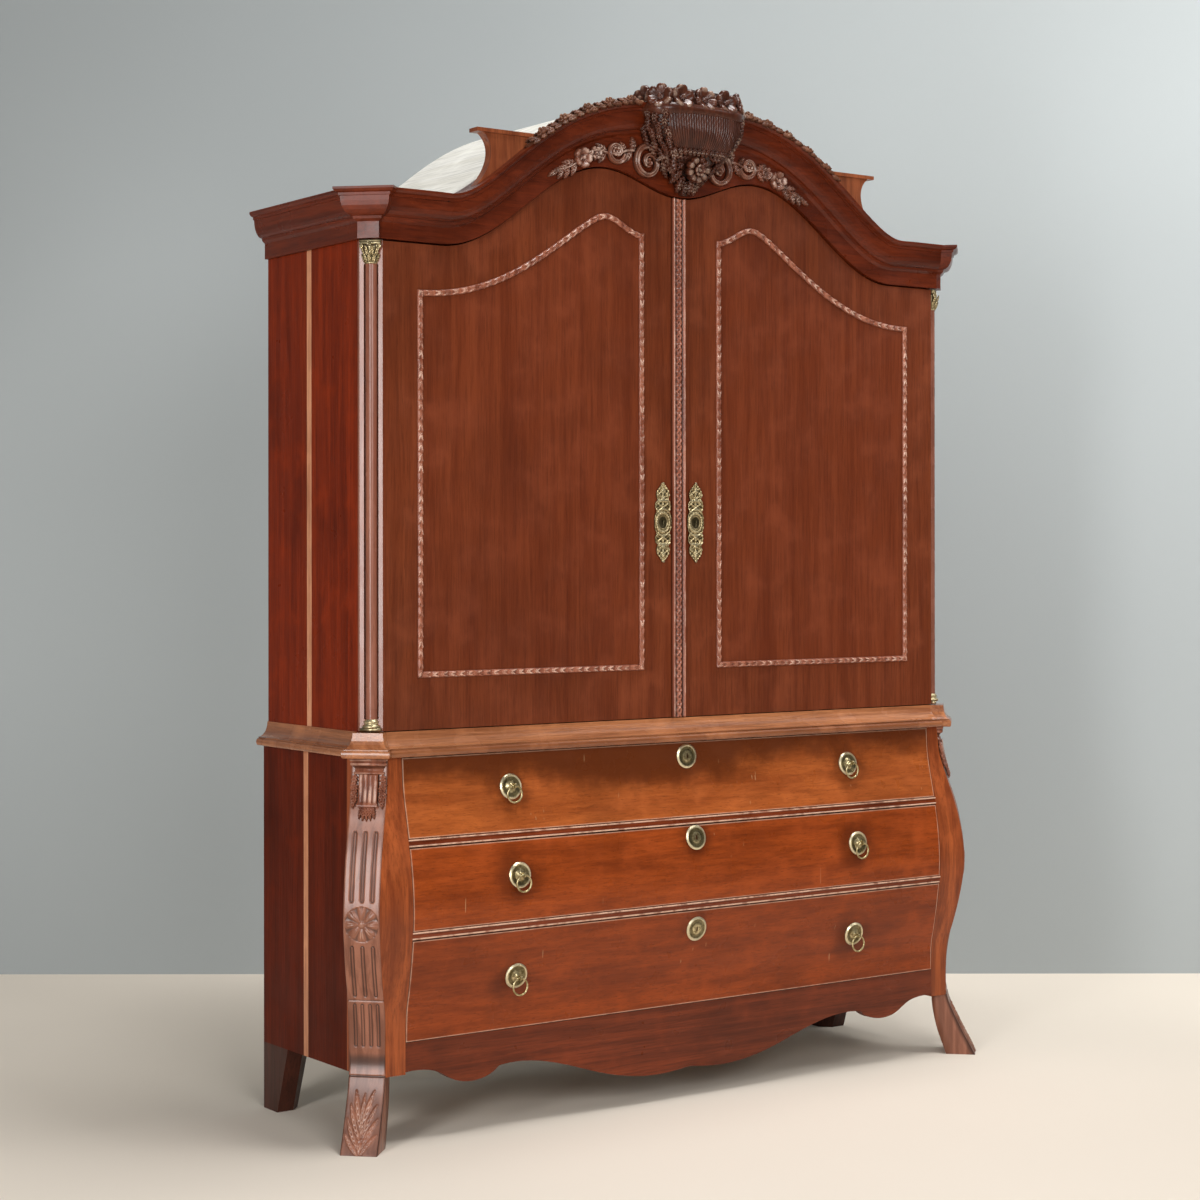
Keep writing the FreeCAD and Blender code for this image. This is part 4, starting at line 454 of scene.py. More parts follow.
def ridge(away, wide):
    """A soft ridge: one in its middle, nothing well away from it."""
    return math.exp(-(away / wide) ** 2)


def dome(share):
    """A round back: one in the middle, nothing at the edge."""
    return math.sqrt(max(0.0, 1 - share ** 2))


def wave(turns):
    return math.cos(2 * math.pi * turns)


def smooth_through(points):
    """A smooth line through (place, value) points that run upwards in place."""
    slopes = []
    for index in range(len(points)):
        low, high = points[max(0, index - 1)], points[min(len(points) - 1, index + 1)]
        slopes.append((high[1] - low[1]) / (high[0] - low[0]))

    def at(place):
        place = clamped(place, points[0][0], points[-1][0])
        index = max(k for k in range(len(points) - 1) if points[k][0] <= place)
        (x0, y0), (x1, y1) = points[index], points[index + 1]
        span = x1 - x0
        t = (place - x0) / span
        return (y0 * (2 * t ** 3 - 3 * t ** 2 + 1) + y1 * (3 * t ** 2 - 2 * t ** 3)
                + span * (slopes[index] * (t ** 3 - 2 * t ** 2 + t) + slopes[index + 1] * (t ** 3 - t ** 2)))
    return at


front_reach = smooth_through([
    (0.0, 0.115), (0.09, 0.068), (0.158, 0.041), (0.24, 0.038), (0.33, 0.0505), (0.42, 0.074), (0.52, 0.0865),
    (0.64, 0.07), (0.735, 0.041), (0.8, 0.0215), (0.87, 0.014)])
heel_reach = smooth_through([(0.0, 0.0385), (0.079, 0.0116), (0.158, 0.0), (0.87, 0.0)])


def corner_point(side, q, u, z):
    """A place at a front corner: q outwards on the diagonal, u along the canted face."""
    return Vector((side * (CHEST_CORNER + (q + u) * HALF_ROOT), CORNER_DEPTH + (u - q) * HALF_ROOT, z))


def corner_way(side, q, u):
    """A level direction at a front corner."""
    return corner_point(side, q, u, 0) - corner_point(side, 0, 0, 0)


def channel(u, z, middle, half, low, high, depth):
    """A round-ended hollow with a reed left in it."""
    over = max(low + half - z, z - (high - half), 0.0)
    off = math.hypot(u - middle, over) / half
    return -depth * min(1.0, (1 - off) / 0.22) + 0.65 * depth * dome(off / 0.52) if off < 1 else 0.0


def leaf_ridge(u, z, root, tip, width, rise):
    """A narrow leaf in low relief, hollowed along its middle and notched by its veins."""
    run = Vector((tip[0] - root[0], tip[1] - root[1]))
    spot = Vector((u - root[0], z - root[1]))
    t = spot.dot(run) / run.length_squared
    if not 0 < t < 1:
        return 0.0
    bow = 0.18 * width * math.sin(math.pi * t)
    off = (spot.x * run.y - spot.y * run.x) / run.length - bow
    share = abs(off) / (0.5 * width * math.sin(math.pi * t ** 0.85) ** 0.7)
    if share >= 1:
        return 0.0
    return rise * (dome(share) * (0.75 + 0.25 * wave(7 * t - 1.3 * share)) - 0.45 * ridge(share, 0.16))


FOOT_LEAVES = [((0, 0.002), (0, 0.062), 0.01), ((0, 0.055), (0, 0.124), 0.009)]
for x, z, tip_x, tip_z, width in ((0, 0.045, 0.021, 0.132, 0.0125), (0.001, 0.028, 0.031, 0.104, 0.012),
                                  (0.002, 0.012, 0.035, 0.074, 0.012), (0.003, 0.001, 0.036, 0.042, 0.011)):
    FOOT_LEAVES += [((side * x, z), (side * tip_x, tip_z), width) for side in (-1, 1)]


def pilaster_relief(u, z):
    """How far the carved face stands out from the plain one."""
    depth = 0.0
    for middle in (-0.024, 0.0, 0.024):
        depth += channel(u, z, middle, 0.0048, 0.553, 0.709, 0.003)
        depth += channel(u, z, middle, 0.0052, 0.338, 0.458, 0.003)
    for middle in (-0.026, -0.009, 0.009, 0.026):
        depth += channel(u, z, middle, 0.005, 0.224, 0.324, 0.0028)
    share = math.hypot(u, z - ROSETTE_LEVEL) / ROSETTE_REACH
    if share < 1:
        cut = abs(math.cos(4 * math.atan2(z - ROSETTE_LEVEL, u)))
        petal = cut ** (0.6 + 1.6 * share) - 0.45 * ridge(1 - cut, 0.03)
        if share > 0.2:
            depth += -0.002 + 0.0042 * math.sin(math.pi * (share - 0.2) / 0.8) ** 0.55 * petal
        else:
            depth += 0.0026 * dome(share / 0.2) - 0.001
    depth -= 0.0022 * ridge(z - 0.331, 0.0016)
    depth -= 0.003 * ridge(z - 0.1605, 0.0014)
    if 0.163 < z < 0.22:
        depth -= 0.0022 * math.sin(math.pi * (z - 0.163) / 0.057)
    if z < 0.14:
        depth += max([leaf_ridge(u, z, root, tip, width, 0.004) for root, tip, width in FOOT_LEAVES])
    edge = max(0.0, abs(u) - 0.0395) / 0.0025
    return depth - 0.0014 * edge ** 2


pilaster_wood = carved_wood("pilaster_wood", (0.172, 0.057, 0.029), (0.3, 0.114, 0.065), (0.54, 0.31, 0.22))
for side, word in ((-1, "left"), (1, "right")):
    def on_pilaster(column, row):
        z = PILASTER_TALL * row / PILASTER_ROWS
        front, back = front_reach(z), heel_reach(z)
        step = column - FACE_COLUMNS
        if step <= 0:
            u = PILASTER_HALF * (2 * column / FACE_COLUMNS - 1)
            relief = pilaster_relief(u, z)
            wear_and_highlight = (0.6 if z > 0.16 else 0.24) + relief / 0.0042
            return corner_point(side, front + relief, u, z), clamped(wear_and_highlight)
        if step <= 3:
            return corner_point(side, front + (back - front) * step / 3, PILASTER_HALF, z), 0.6
        return corner_point(side, back + (front - back) * (step - 4) / 3, -PILASTER_HALF, z), 0.6
    work = start_carving()
    add_roll(work, FACE_COLUMNS + 7, PILASTER_ROWS, on_pilaster)
    finish_carving(work, "pilaster_%s_carved" % word, pilaster_wood, "case", hides=["pilaster_" + word])

# ---------- carving on the chest: heads of the pilasters
# A moulded block, a head of four reeds between hanging leaves, and a leafy tassel, glued on the pilaster.
# They are painted dark in the hollows, as grime and shade, and pale on the leaves, as wear and highlight.
REED_COLUMNS, REED_ROWS, REED_HALF, REED_FOOT, REED_HEAD = 48, 24, 0.0225, 0.762, 0.833


def add_block(work, outline, place):
    """A moulded block: the profile (out, height, tone) runs round all four sides; a high tone is painted
    pale, a low one dark.
    """
    def on_block(column, row):
        out, height, wear_and_highlight = outline[row]
        return place(column, out, height), wear_and_highlight
    add_roll(work, 4, len(outline) - 1, on_block)


def add_leaf(work, root, tip, face, width, rise, curl=0.0, veins=5, across=11, along=22):
    """A carved leaf, flat behind: hollow along the middle, veined, its tip curled off the ground."""
    run = tip - root
    face = (face - face.project(run)).normalized()
    beside = run.cross(face).normalized()

    def on_leaf(column, row):
        t = row / along
        half = 0.5 * width * max(0.0, math.sin(math.pi * (0.02 + 0.98 * t) ** 0.8)) ** 0.75
        half *= 0.8 + 0.2 * wave(veins * t - 0.9)
        share = 2 * column / (across - 1) - 1
        crown = dome(share)
        middle = root + run * t + face * (curl * t * t)
        notch = 0.3 * wave(veins * t - 0.9 * abs(share))
        body = math.sin(math.pi * (0.06 + 0.9 * t)) ** 0.5
        height = rise * body * (crown * (0.85 + notch) - 0.35 * ridge(share, 0.22) * crown)
        return middle + beside * (half * share) + face * height, clamped(0.15 + 0.85 * height / rise)
    add_roll(work, across, along, on_leaf)


capital_wood = carved_wood("capital_wood", (0.15, 0.04, 0.0187), (0.3, 0.1, 0.0525), (0.725, 0.45, 0.338))
work = start_carving()
for side in (-1, 1):
    def round_block(column, out, height):
        wide, deep = 0.0385 + out, front_reach(0.845) + 0.0115 + out
        u, q = ((-wide, 0.0), (-wide, deep), (wide, deep), (wide, 0.0))[column]
        return corner_point(side, q, u, height)

    def on_reeds(column, row):
        z = REED_FOOT + (REED_HEAD - REED_FOOT) * row / REED_ROWS
        q = front_reach(z)
        if column > REED_COLUMNS:
            edge = 1 if column == REED_COLUMNS + 1 else -1
            return corner_point(side, q - 0.004, REED_HALF * edge, z), 0.2
        u = REED_HALF * (2 * column / REED_COLUMNS - 1)
        if row <= 2:
            return corner_point(side, q + 0.0125, u * 1.04, z), 0.9
        reed = 0.0045 * dome((((u / REED_HALF + 1) * 2) % 1.0 - 0.5) / 0.46)
        return corner_point(side, q + (0.0075 + reed), u, z), min(1.0, reed / 0.004)

    def hang_leaf(from_u, to_u, level, long, width, rise, lift, **cut):
        """A leaf that hangs from a level, its foot and tip this far along the canted face."""
        root = corner_point(side, front_reach(level) + lift[0], from_u, level)
        tip = corner_point(side, front_reach(level - long) + lift[1], to_u, level - long)
        add_leaf(work, root, tip, corner_way(side, 1, 0), width, rise, **cut)
    add_block(work, [
        (0.0035, 0.87, 0.7), (0.0035, 0.8635, 0.9), (0.0, 0.862, 0.3), (0.0, 0.86, 0.3),
        (0.0022, 0.8585, 0.9), (0.0022, 0.854, 0.9), (-0.002, 0.8515, 0.1), (-0.006, 0.847, 0.2),
        (-0.007, 0.84, 0.4), (-0.0035, 0.837, 0.8), (-0.0035, 0.8335, 0.9), (-0.009, 0.8325, 0.2)],
        round_block)
    add_roll(work, REED_COLUMNS + 3, REED_ROWS, on_reeds)
    for middle, long in ((-0.0165, 0.032), (0.0165, 0.032), (-0.0085, 0.036), (0.0085, 0.036), (0.0, 0.037)):
        hang_leaf(0.62 * middle, 1.12 * middle, 0.766, long, 0.0135, 0.01, (0.002, 0.0015),
                  curl=0.001, veins=6)
    for edge in (-1, 1):
        for level, lean, long, width in (
                (0.833, 0.002, 0.03, 0.018), (0.82, 0.006, 0.027, 0.017), (0.812, -0.004, 0.026, 0.016),
                (0.8, 0.005, 0.027, 0.017), (0.792, -0.004, 0.025, 0.015), (0.782, 0.002, 0.026, 0.015)):
            hang_leaf(edge * (0.0315 + 0.2 * lean), edge * (0.0325 + lean), level, long, width, 0.0095,
                      (0.0, 0.003), curl=0.002, veins=4)
finish_carving(work, "pilaster_heads_carved", capital_wood, "case", hides=["pilaster_capitals"])

# ---------- carved edges of the doors
# A small wooden moulding of overlapping leaves is planted round each panel, mitred at its four corners.
# Its raised leaves are painted pale, as rubbed wood and as a painted highlight.
LOBE, SHOULDER, FOOT_EDGE, ARCH_RISE = 0.23, 1.929, 1.045, 0.22
PANEL_INNER, PANEL_OUTER, PANEL_STEPS = 0.112, 0.754, 160
MOULDING_HALF, LEAF_LONG = 0.0075, 0.0235
# The near-white tone of the raised leaves is a painted highlight as well as wear.
moulding_wood = carved_wood(
    "moulding_wood", (0.213, 0.0575, 0.0287), (0.388, 0.131, 0.0725), (1.0, 0.7, 0.55), gloss=0.26)


def half_wave(share):
    return 0.5 * (1 + math.cos(math.pi * clamped(share)))


def panel_top(x, inner, outer):
    """Height of the middle line of the moulding over a panel."""
    if x > LOBE:
        return SHOULDER - MOULDING_HALF + ARCH_RISE * half_wave(((x - LOBE) / (outer - LOBE)) ** 0.65)
    return SHOULDER - MOULDING_HALF + 0.178 + 0.042 * half_wave((LOBE - x) / (LOBE - inner))


def rounded_top(x, inner, outer):
    """The same line with its peak softened."""
    reach = min(0.022, x - inner, outer - x)
    return sum(panel_top(x + reach * k / 4, inner, outer) for k in range(-4, 5)) / 9


def even_line(points, step):
    """Points at an even distance along a line of points."""
    spans = [(b - a).length for a, b in zip(points, points[1:])]
    count = max(2, round(sum(spans) / step))
    line, index, gone = [points[0].copy()], 0, 0.0
    for k in range(1, count):
        goal = sum(spans) * k / count
        while gone + spans[index] < goal:
            gone += spans[index]
            index += 1
        line.append(points[index].lerp(points[index + 1], (goal - gone) / spans[index]))
    return line + [points[-1].copy()]


def measured(line):
    """How far along a line each of its points lies, and the way the line runs there."""
    lengths, ways = [0.0], []
    for a, b in zip(line, line[1:]):
        lengths.append(lengths[-1] + (b - a).length)
    for row in range(len(line)):
        ways.append((line[min(len(line) - 1, row + 1)] - line[max(0, row - 1)]).normalized())
    return lengths, ways


def add_run(work, line, across, relief, mitre):
    """A length of planted moulding along a line in the door's plane, its ends cut to a mitre."""
    lengths, ways = measured(line)

    def on_run(column, row):
        share = 2 * column / (across - 1) - 1
        off = MOULDING_HALF * share
        way = ways[row]
        beside = Vector((way.z, 0, -way.x))
        t = lengths[row] / lengths[-1]
        shift = mitre * off * (1 - t) - mitre * off * t
        height, wear_and_highlight = relief(lengths[row] + shift, share)
        return line[row] + way * shift + beside * off - Vector((0, height, 0)), wear_and_highlight
    add_roll(work, across, len(line) - 1, on_run)


def leaf_rope(length, share):
    """Leaves lying one over the next along a rounded strip."""
    if abs(share) > 0.999:
        return 0.0, 0.3
    leaf = 1 - 0.8 * ((length / LEAF_LONG + 0.6 * abs(share)) % 1.0)
    vein = 0.14 * wave(length / 0.0058 + 1.2 * abs(share))
    value = dome(share) ** 0.6 * (0.28 + 0.72 * leaf - 0.22 * ridge(share, 0.15) + vein)
    return 0.0075 * clamped(value, 0.08), clamped(1.5 * value - 0.25)


for side, word in ((-1, "left"), (1, "right")):
    inner, outer, low = PANEL_INNER + MOULDING_HALF, PANEL_OUTER - MOULDING_HALF, FOOT_EDGE + MOULDING_HALF
    top = [Vector((side * x, FACE, rounded_top(x, inner, outer)))
           for x in [outer + (inner - outer) * k / PANEL_STEPS for k in range(PANEL_STEPS + 1)]]
    low_inner, low_outer = Vector((side * inner, FACE, low)), Vector((side * outer, FACE, low))
    work = start_carving()
    for run in ([low_outer, top[0]], top, [top[-1], low_inner], [low_inner, low_outer]):
        add_run(work, even_line(run, 0.0028), 11, leaf_rope, -side)
    finish_carving(work, "door_%s_leaf_moulding" % word, moulding_wood, "door_" + word,
                   hides=["door_%s_moulding" % word])

# ---------- meeting strip of the doors
# A wooden strip carved with a twisted ribbon between two beads is fixed to the right door.
# It covers the joint between the doors, and its raised parts are painted pale like the panel mouldings, as
# wear and as a painted highlight.
STRIP_LEFT, STRIP_RIGHT, STRIP_FOOT, STRIP_ROWS, STRIP_COLUMNS = -0.0265, 0.0105, 0.928, 560, 30
RIBBON_LONG, FRIEZE_LOW = 0.034, 2.036


def frieze_edge(x):
    """Height of the frieze's lower edge."""
    x = abs(x)
    if x <= LOBE:
        return FRIEZE_LOW + ARCH_RISE - 0.054 * half_wave(x / LOBE)
    return FRIEZE_LOW + ARCH_RISE * half_wave((x - LOBE) / 0.46)


def on_strip(column, row):
    share = 2 * min(column, STRIP_COLUMNS) / STRIP_COLUMNS - 1
    x = 0.5 * (STRIP_LEFT + STRIP_RIGHT) + 0.5 * (STRIP_RIGHT - STRIP_LEFT) * share
    z = STRIP_FOOT + (frieze_edge(x) - 0.0035 - STRIP_FOOT) * row / STRIP_ROWS
    if column > STRIP_COLUMNS:
        return Vector((STRIP_RIGHT if column == STRIP_COLUMNS + 1 else STRIP_LEFT, FACE - 0.0002, z)), 0.3
    away = abs(share)
    if away > 0.72:
        value = 0.55 + 0.4 * dome((away - 0.86) / 0.14)
    elif away > 0.6:
        value = 0.35
    else:
        step = (z / RIBBON_LONG + 0.5 * away) % 1.0
        weave = math.sin(2 * math.pi * z / RIBBON_LONG) * 0.28
        raised = min(1.0, ridge(share - weave, 0.16) + ridge(share + weave, 0.16))
        value = 0.42 + 0.5 * raised * (0.8 + 0.2 * math.cos(2 * math.pi * step * 3))
    return Vector((x, FACE - 0.0118 * min(1.0, value), z)), clamped(1.6 * value - 0.62, high=0.78)


work = start_carving()
add_roll(work, STRIP_COLUMNS + 3, STRIP_ROWS, on_strip)
finish_carving(work, "meeting_strip_carved", moulding_wood, "door_right", hides=["astragal"])

# ---------- crest on the cornice
# A swelling cartouche is carved from one block and planted over the arch: a hatched field under a smooth
# band, leaves down both its edges, flowers along its top and a shell between leaves at its foot.
UP = Vector((0, 0, 1))
CREST_POWER, CREST_FOOT, CREST_HEAD = 3.8, 2.206, 2.45
CREST_COLUMNS, CREST_ROWS, FLOWER_EYE = 300, 120, 0.22
FIELD_EDGE, FIELD_SILL, FIELD_FOOT, FIELD_HEAD, BAND_HEAD = 0.5, 2.296, 2.306, 2.384, 2.412
CREST_LEVELS = (2.204, 2.256, 2.308, 2.3465, 2.385, 2.424, 2.462)
crest_wide = smooth_through(list(zip(CREST_LEVELS, (0.018, 0.063, 0.108, 0.1395, 0.147, 0.15, 0.135))))
crest_deep = smooth_through(list(zip(CREST_LEVELS, (0.026, 0.0614, 0.1015, 0.118, 0.118, 0.1145, 0.1015))))


def add_flower(work, centre, face, up, radius, rise, petals, cup=0.3, spin=0.0):
    """A carved flower, flat behind: notched petals round a raised eye."""
    face = face.normalized()
    up = (up - up.project(face)).normalized()
    beside = up.cross(face)
    around, rings = petals * 10, 10

    def on_flower(column, row):
        turn = 2 * math.pi * column / around
        lobe = abs(math.cos(0.5 * petals * turn))
        rim = radius * (0.78 + 0.22 * lobe ** 0.5 - 0.05 * ridge(1 - lobe, 0.03))
        way = beside * math.cos(turn + spin) + up * math.sin(turn + spin)
        if row >= rings:
            return centre + way * (rim * (0.97 if row == rings else 0.0)) - face * (0.15 * rise), 0.1
        share = row / (rings - 1)
        if share < FLOWER_EYE:
            height = rise * (0.7 + 0.3 * dome(share / FLOWER_EYE))
        else:
            t = (share - FLOWER_EYE) / (1 - FLOWER_EYE)
            bowl = cup + (1 - cup) * math.sin(0.5 * math.pi * min(1.0, t / 0.8)) ** 2
            height = rise * bowl * (0.5 + 0.5 * lobe ** 0.7)
            height *= 1 - 0.5 * max(0.0, (t - 0.8) / 0.2) ** 2
            height -= rise * (0.2 * ridge(t, 0.14) + 0.1 * ridge(1 - lobe, 0.04))
        return centre + way * (rim * share) + face * max(0.05 * rise, height), clamped(1.1 * height / rise)
    add_roll(work, around, rings + 1, on_flower)


def crest_plan(angle):
    """The cartouche's plan, from its left edge (-90 degrees) over its front to its right edge."""
    sine, cosine = math.sin(angle), max(0.0, math.cos(angle))
    reach = (abs(sine) ** CREST_POWER + cosine ** CREST_POWER) ** (-1 / CREST_POWER)
    return reach * sine, reach * cosine


crest_angles = [math.pi * (k / 240 - 0.5) for k in range(241)]
crest_lengths = [0.0]
for a, b in zip(crest_angles, crest_angles[1:]):
    (ax, ay), (bx, by) = crest_plan(a), crest_plan(b)
    crest_lengths.append(crest_lengths[-1] + math.hypot(0.145 * (bx - ax), 0.115 * (by - ay)))
crest_angle = smooth_through([(2 * length / crest_lengths[-1] - 1, angle)
                              for length, angle in zip(crest_lengths, crest_angles)])


def crest_point(turn, z, proud=0.0):
    """A place on the cartouche and the way it looks; turn runs from the left edge (-1) to the right (1)."""
    x, y = crest_plan(crest_angle(turn))
    wide, deep = crest_wide(z), crest_deep(z)
    out = Vector((math.copysign(abs(x) ** (CREST_POWER - 1), x) / wide, -(y ** (CREST_POWER - 1)) / deep, 0))
    out.normalize()
    return Vector((wide * x, FACE - deep * y, z)) + out * proud, out


def on_crest(column, row):
    z = CREST_FOOT + (CREST_HEAD - CREST_FOOT) * row / CREST_ROWS
    if column > CREST_COLUMNS:
        edge = 1 if column == CREST_COLUMNS + 1 else -1
        return Vector((crest_wide(z) * edge * 0.96, FACE + 0.004, z)), 0.3
    turn = 1.98 * column / CREST_COLUMNS - 0.99
    bow = 0.012 * math.cos(0.5 * math.pi * abs(turn) / FIELD_EDGE) if abs(turn) < FIELD_EDGE else 0.0
    if z > BAND_HEAD:
        value, wear_and_highlight = -0.014, 0.1
    elif z > FIELD_HEAD + bow * 0.5:
        share = (z - FIELD_HEAD - bow * 0.5) / (0.028 - bow * 0.5)
        value, wear_and_highlight = -0.005 + 0.0045 * math.sin(math.pi * share), 0.6
    elif z > FIELD_FOOT and abs(turn) < FIELD_EDGE:
        hatch = math.cos(2 * math.pi * column / 5) * (0.75 + 0.25 * wave(z * 60 + 0.37 * (column // 5)))
        value, wear_and_highlight = -0.0065 + 0.0016 * hatch, 0.36 + 0.2 * hatch
    elif z > FIELD_SILL:
        value, wear_and_highlight = -0.01, 0.15
    else:
        value, wear_and_highlight = -0.01 - 0.006 * math.sin(math.pi * min(1.0, (FIELD_SILL - z) / 0.09)), 0.2
    return crest_point(turn, z, value)[0], wear_and_highlight


def crest_leaf(root, tip, width, rise, droop=0.0, **cut):
    """A leaf on the cartouche; its root and tip are (turn, height, proud)."""
    start, out = crest_point(*root)
    add_leaf(work, start, crest_point(*tip)[0], out - droop * UP, width, rise, **cut)


crest_wood = carved_wood("crest_wood", (0.048, 0.0125, 0.006), (0.092, 0.025, 0.012), (0.42, 0.285, 0.21),
                         gloss=0.23, wax=0.3)
work = start_carving()
add_roll(work, CREST_COLUMNS + 3, CREST_ROWS, on_crest)
for index, petals in enumerate((5, 6, 5, 7, 5, 6, 5)):
    turn = -0.88 + 1.76 * index / 6
    spot, out = crest_point(turn, 2.4265, -0.0165)
    add_flower(work, spot, (out + 0.3 * UP).normalized(), UP, 0.034, 0.014, petals,
               cup=0.35, spin=0.5 * math.pi + 0.2 * turn)
for index in range(8):
    turn = clamped(-0.88 + 1.76 * (index - 0.5) / 6, -0.97, 0.97)
    crest_leaf((turn, 2.41, -0.015), (turn, 2.452, -0.018), 0.024, 0.006)
for side in (-1, 1):
    for level in range(6):
        for place in range(4):
            z = 2.402 - 0.0225 * level - (0.011 if place % 2 else 0.0)
            tip_turn = 0.535 + 0.115 * place + (0.03 if (level + place) % 2 else -0.02)
            crest_leaf((side * (0.56 + 0.105 * place), z, -0.01), (side * tip_turn, z - 0.032, -0.0085),
                       0.025, 0.0105, curl=0.002, veins=4)
for index in range(13):
    turn = FIELD_EDGE * (2 * index / 12 - 1)
    crest_leaf((turn, 2.31, -0.008), (turn * 1.02, 2.291, -0.005), 0.019, 0.008, veins=3, along=10)
shell_at, shell_out = crest_point(0.0, 2.266, -0.006)
shell_face = (shell_out - 0.3 * UP).normalized()
add_flower(work, shell_at, shell_face, UP, 0.034, 0.022, 9, cup=0.55)
add_flower(work, shell_at + shell_face * 0.016, shell_face, UP, 0.016, 0.009, 6, cup=0.4)
for side in (-1, 1):
    for turn, z, end_turn, end_z, width, proud in (
            (0.22, 2.292, 0.62, 2.296, 0.028, 0.0), (0.3, 2.276, 0.8, 2.262, 0.03, 0.002),
            (0.34, 2.262, 0.86, 2.236, 0.028, 0.003), (0.26, 2.25, 0.8, 2.214, 0.028, 0.004),
            (0.1, 2.24, 0.52, 2.206, 0.024, 0.005), (0.55, 2.3, 0.92, 2.284, 0.026, 0.001)):
        crest_leaf((side * turn, z, -0.012), (side * end_turn, end_z, proud - 0.004), width, 0.013,
                   droop=0.2, curl=0.003)
crest_leaf((0.0, 2.244, -0.004), (0.0, 2.2065, -0.002), 0.028, 0.012)
finish_carving(work, "crest_carved", crest_wood, "case", hides=["crest_cartouche"])

# ---------- scrolls, tendrils and garlands
# Scrolls and flowering tendrils are carved on the frieze at both sides of the crest, and a garland of
# leaves lies along the top edge of the cornice.
FORWARD = Vector((0, -1, 0))
FRIEZE_FACE, GARLAND_MIDDLE, GARLAND_LEAVES = FACE - 0.009, -0.041 + FACE, 15


def arch_line(x):
    """Height of the line between frieze and cornice."""
    return 2.073 + 0.272 * half_wave((abs(x) / 0.688) ** 1.58)


def add_strand(work, line, face, wide, thinning, rise, hollow=False, across=11):
    """A carved stem or scroll along a line: rounded in front, flat behind, thinning towards its end."""
    lengths, ways = measured(line)

    def width(t):
        return wide * (1 - thinning * t)

    def on_strand(column, row):
        share = 2 * column / (across - 1) - 1
        half = 0.5 * width(lengths[row] / lengths[-1])
        value = dome(share) * (1.0 - 0.42 * ridge(share - 0.1, 0.34) if hollow else 1.0)
        height = rise * min(1.0, half / (0.5 * width(0.5)) + 0.25) * value
        beside = ways[row].cross(face).normalized()
        return line[row] + beside * (half * share) + face * height, clamped(0.1 + 0.95 * value)
    add_roll(work, across, len(line) - 1, on_strand)


def scroll(x, z, radius, start, turns, steps=60, shrink=0.2):
    """A line that winds inwards in the plane of the frieze; a negative x mirrors it."""
    line = []
    start = start if x > 0 else math.pi - start
    for index in range(steps + 1):
        t = index / steps
        angle = start + 2 * math.pi * math.copysign(1, x) * turns * t
        reach = radius * (1 - (1 - shrink) * t ** 1.2)
        line.append(Vector((x + reach * math.cos(angle), FRIEZE_FACE, z + reach * math.sin(angle))))
    return line


def stem_height(x):
    share = 0.55 if x < 0.26 else 0.55 - 0.1 * (x - 0.26) / 0.14
    return frieze_edge(x) + share * (arch_line(x) - frieze_edge(x))


def stem_point(side, x, y):
    """A place on the winding stem of a tendril."""
    return Vector((side * x, y, stem_height(x) + 0.007 * math.sin(52 * x)))


frieze_wood = carved_wood(
    "frieze_wood", (0.106, 0.035, 0.0187), (0.213, 0.0725, 0.04), (0.725, 0.525, 0.425), gloss=0.26)
work = start_carving()
for side in (-1, 1):
    for strand, flowers in (
            ((0.108, 2.2775, 0.041, 0.62, -1.42, 0.019, 0.45, 0.0165),
             [(0.11, 2.2765, 0.0125, 0.013, 5, 0.3)]),
            ((0.203, 2.2945, 0.027, 1.05, 1.3, 0.0145, 0.4, 0.014),
             [(0.204, 2.2945, 0.0125, 0.012, 6, 0.3), (0.302, 2.2705, 0.0255, 0.015, 5, 0.45),
              (0.264, 2.286, 0.0165, 0.012, 6, 0.3)])):
        x, z, radius, start, turns, wide, thinning, rise = strand
        line = scroll(side * x, z, radius, start * math.pi, turns)
        add_strand(work, line, FORWARD, wide, thinning, rise, hollow=True)
        for x, z, radius, rise, petals, cup in flowers:
            centre = Vector((side * x, FRIEZE_FACE - 0.001, z))
            add_flower(work, centre, FORWARD, UP, radius, rise, petals, cup)
    stem = [stem_point(side, x, FRIEZE_FACE) for x in [0.15 + 0.245 * k / 40 for k in range(41)]]
    add_strand(work, stem, FORWARD, 0.0095, 0.6, 0.009)
    for x, lean, long, width in (
            (0.15, 1.3, 0.034, 0.022), (0.158, -1.05, 0.038, 0.022), (0.176, 0.9, 0.026, 0.018),
            (0.232, 0.7, 0.036, 0.022), (0.236, -0.8, 0.034, 0.02), (0.258, -0.95, 0.028, 0.018),
            (0.276, -0.9, 0.026, 0.018), (0.322, 0.42, 0.04, 0.021), (0.322, -0.7, 0.034, 0.02),
            (0.342, 0.3, 0.036, 0.019), (0.342, -0.62, 0.032, 0.018), (0.36, 0.22, 0.032, 0.016),
            (0.36, -0.52, 0.03, 0.016), (0.372, 0.02, 0.036, 0.016)):
        angle = math.atan((stem_height(x + 0.004) - stem_height(x - 0.004)) / 0.008) + lean
        root = stem_point(side, x, FRIEZE_FACE + 0.001)
        tip = root + Vector((side * long * math.cos(angle), 0, long * math.sin(angle)))
        add_leaf(work, root, tip, FORWARD, width, 0.0125, curl=0.002, veins=4)
finish_carving(work, "tendrils_carved", frieze_wood, "case", hides=["crest_garlands"])

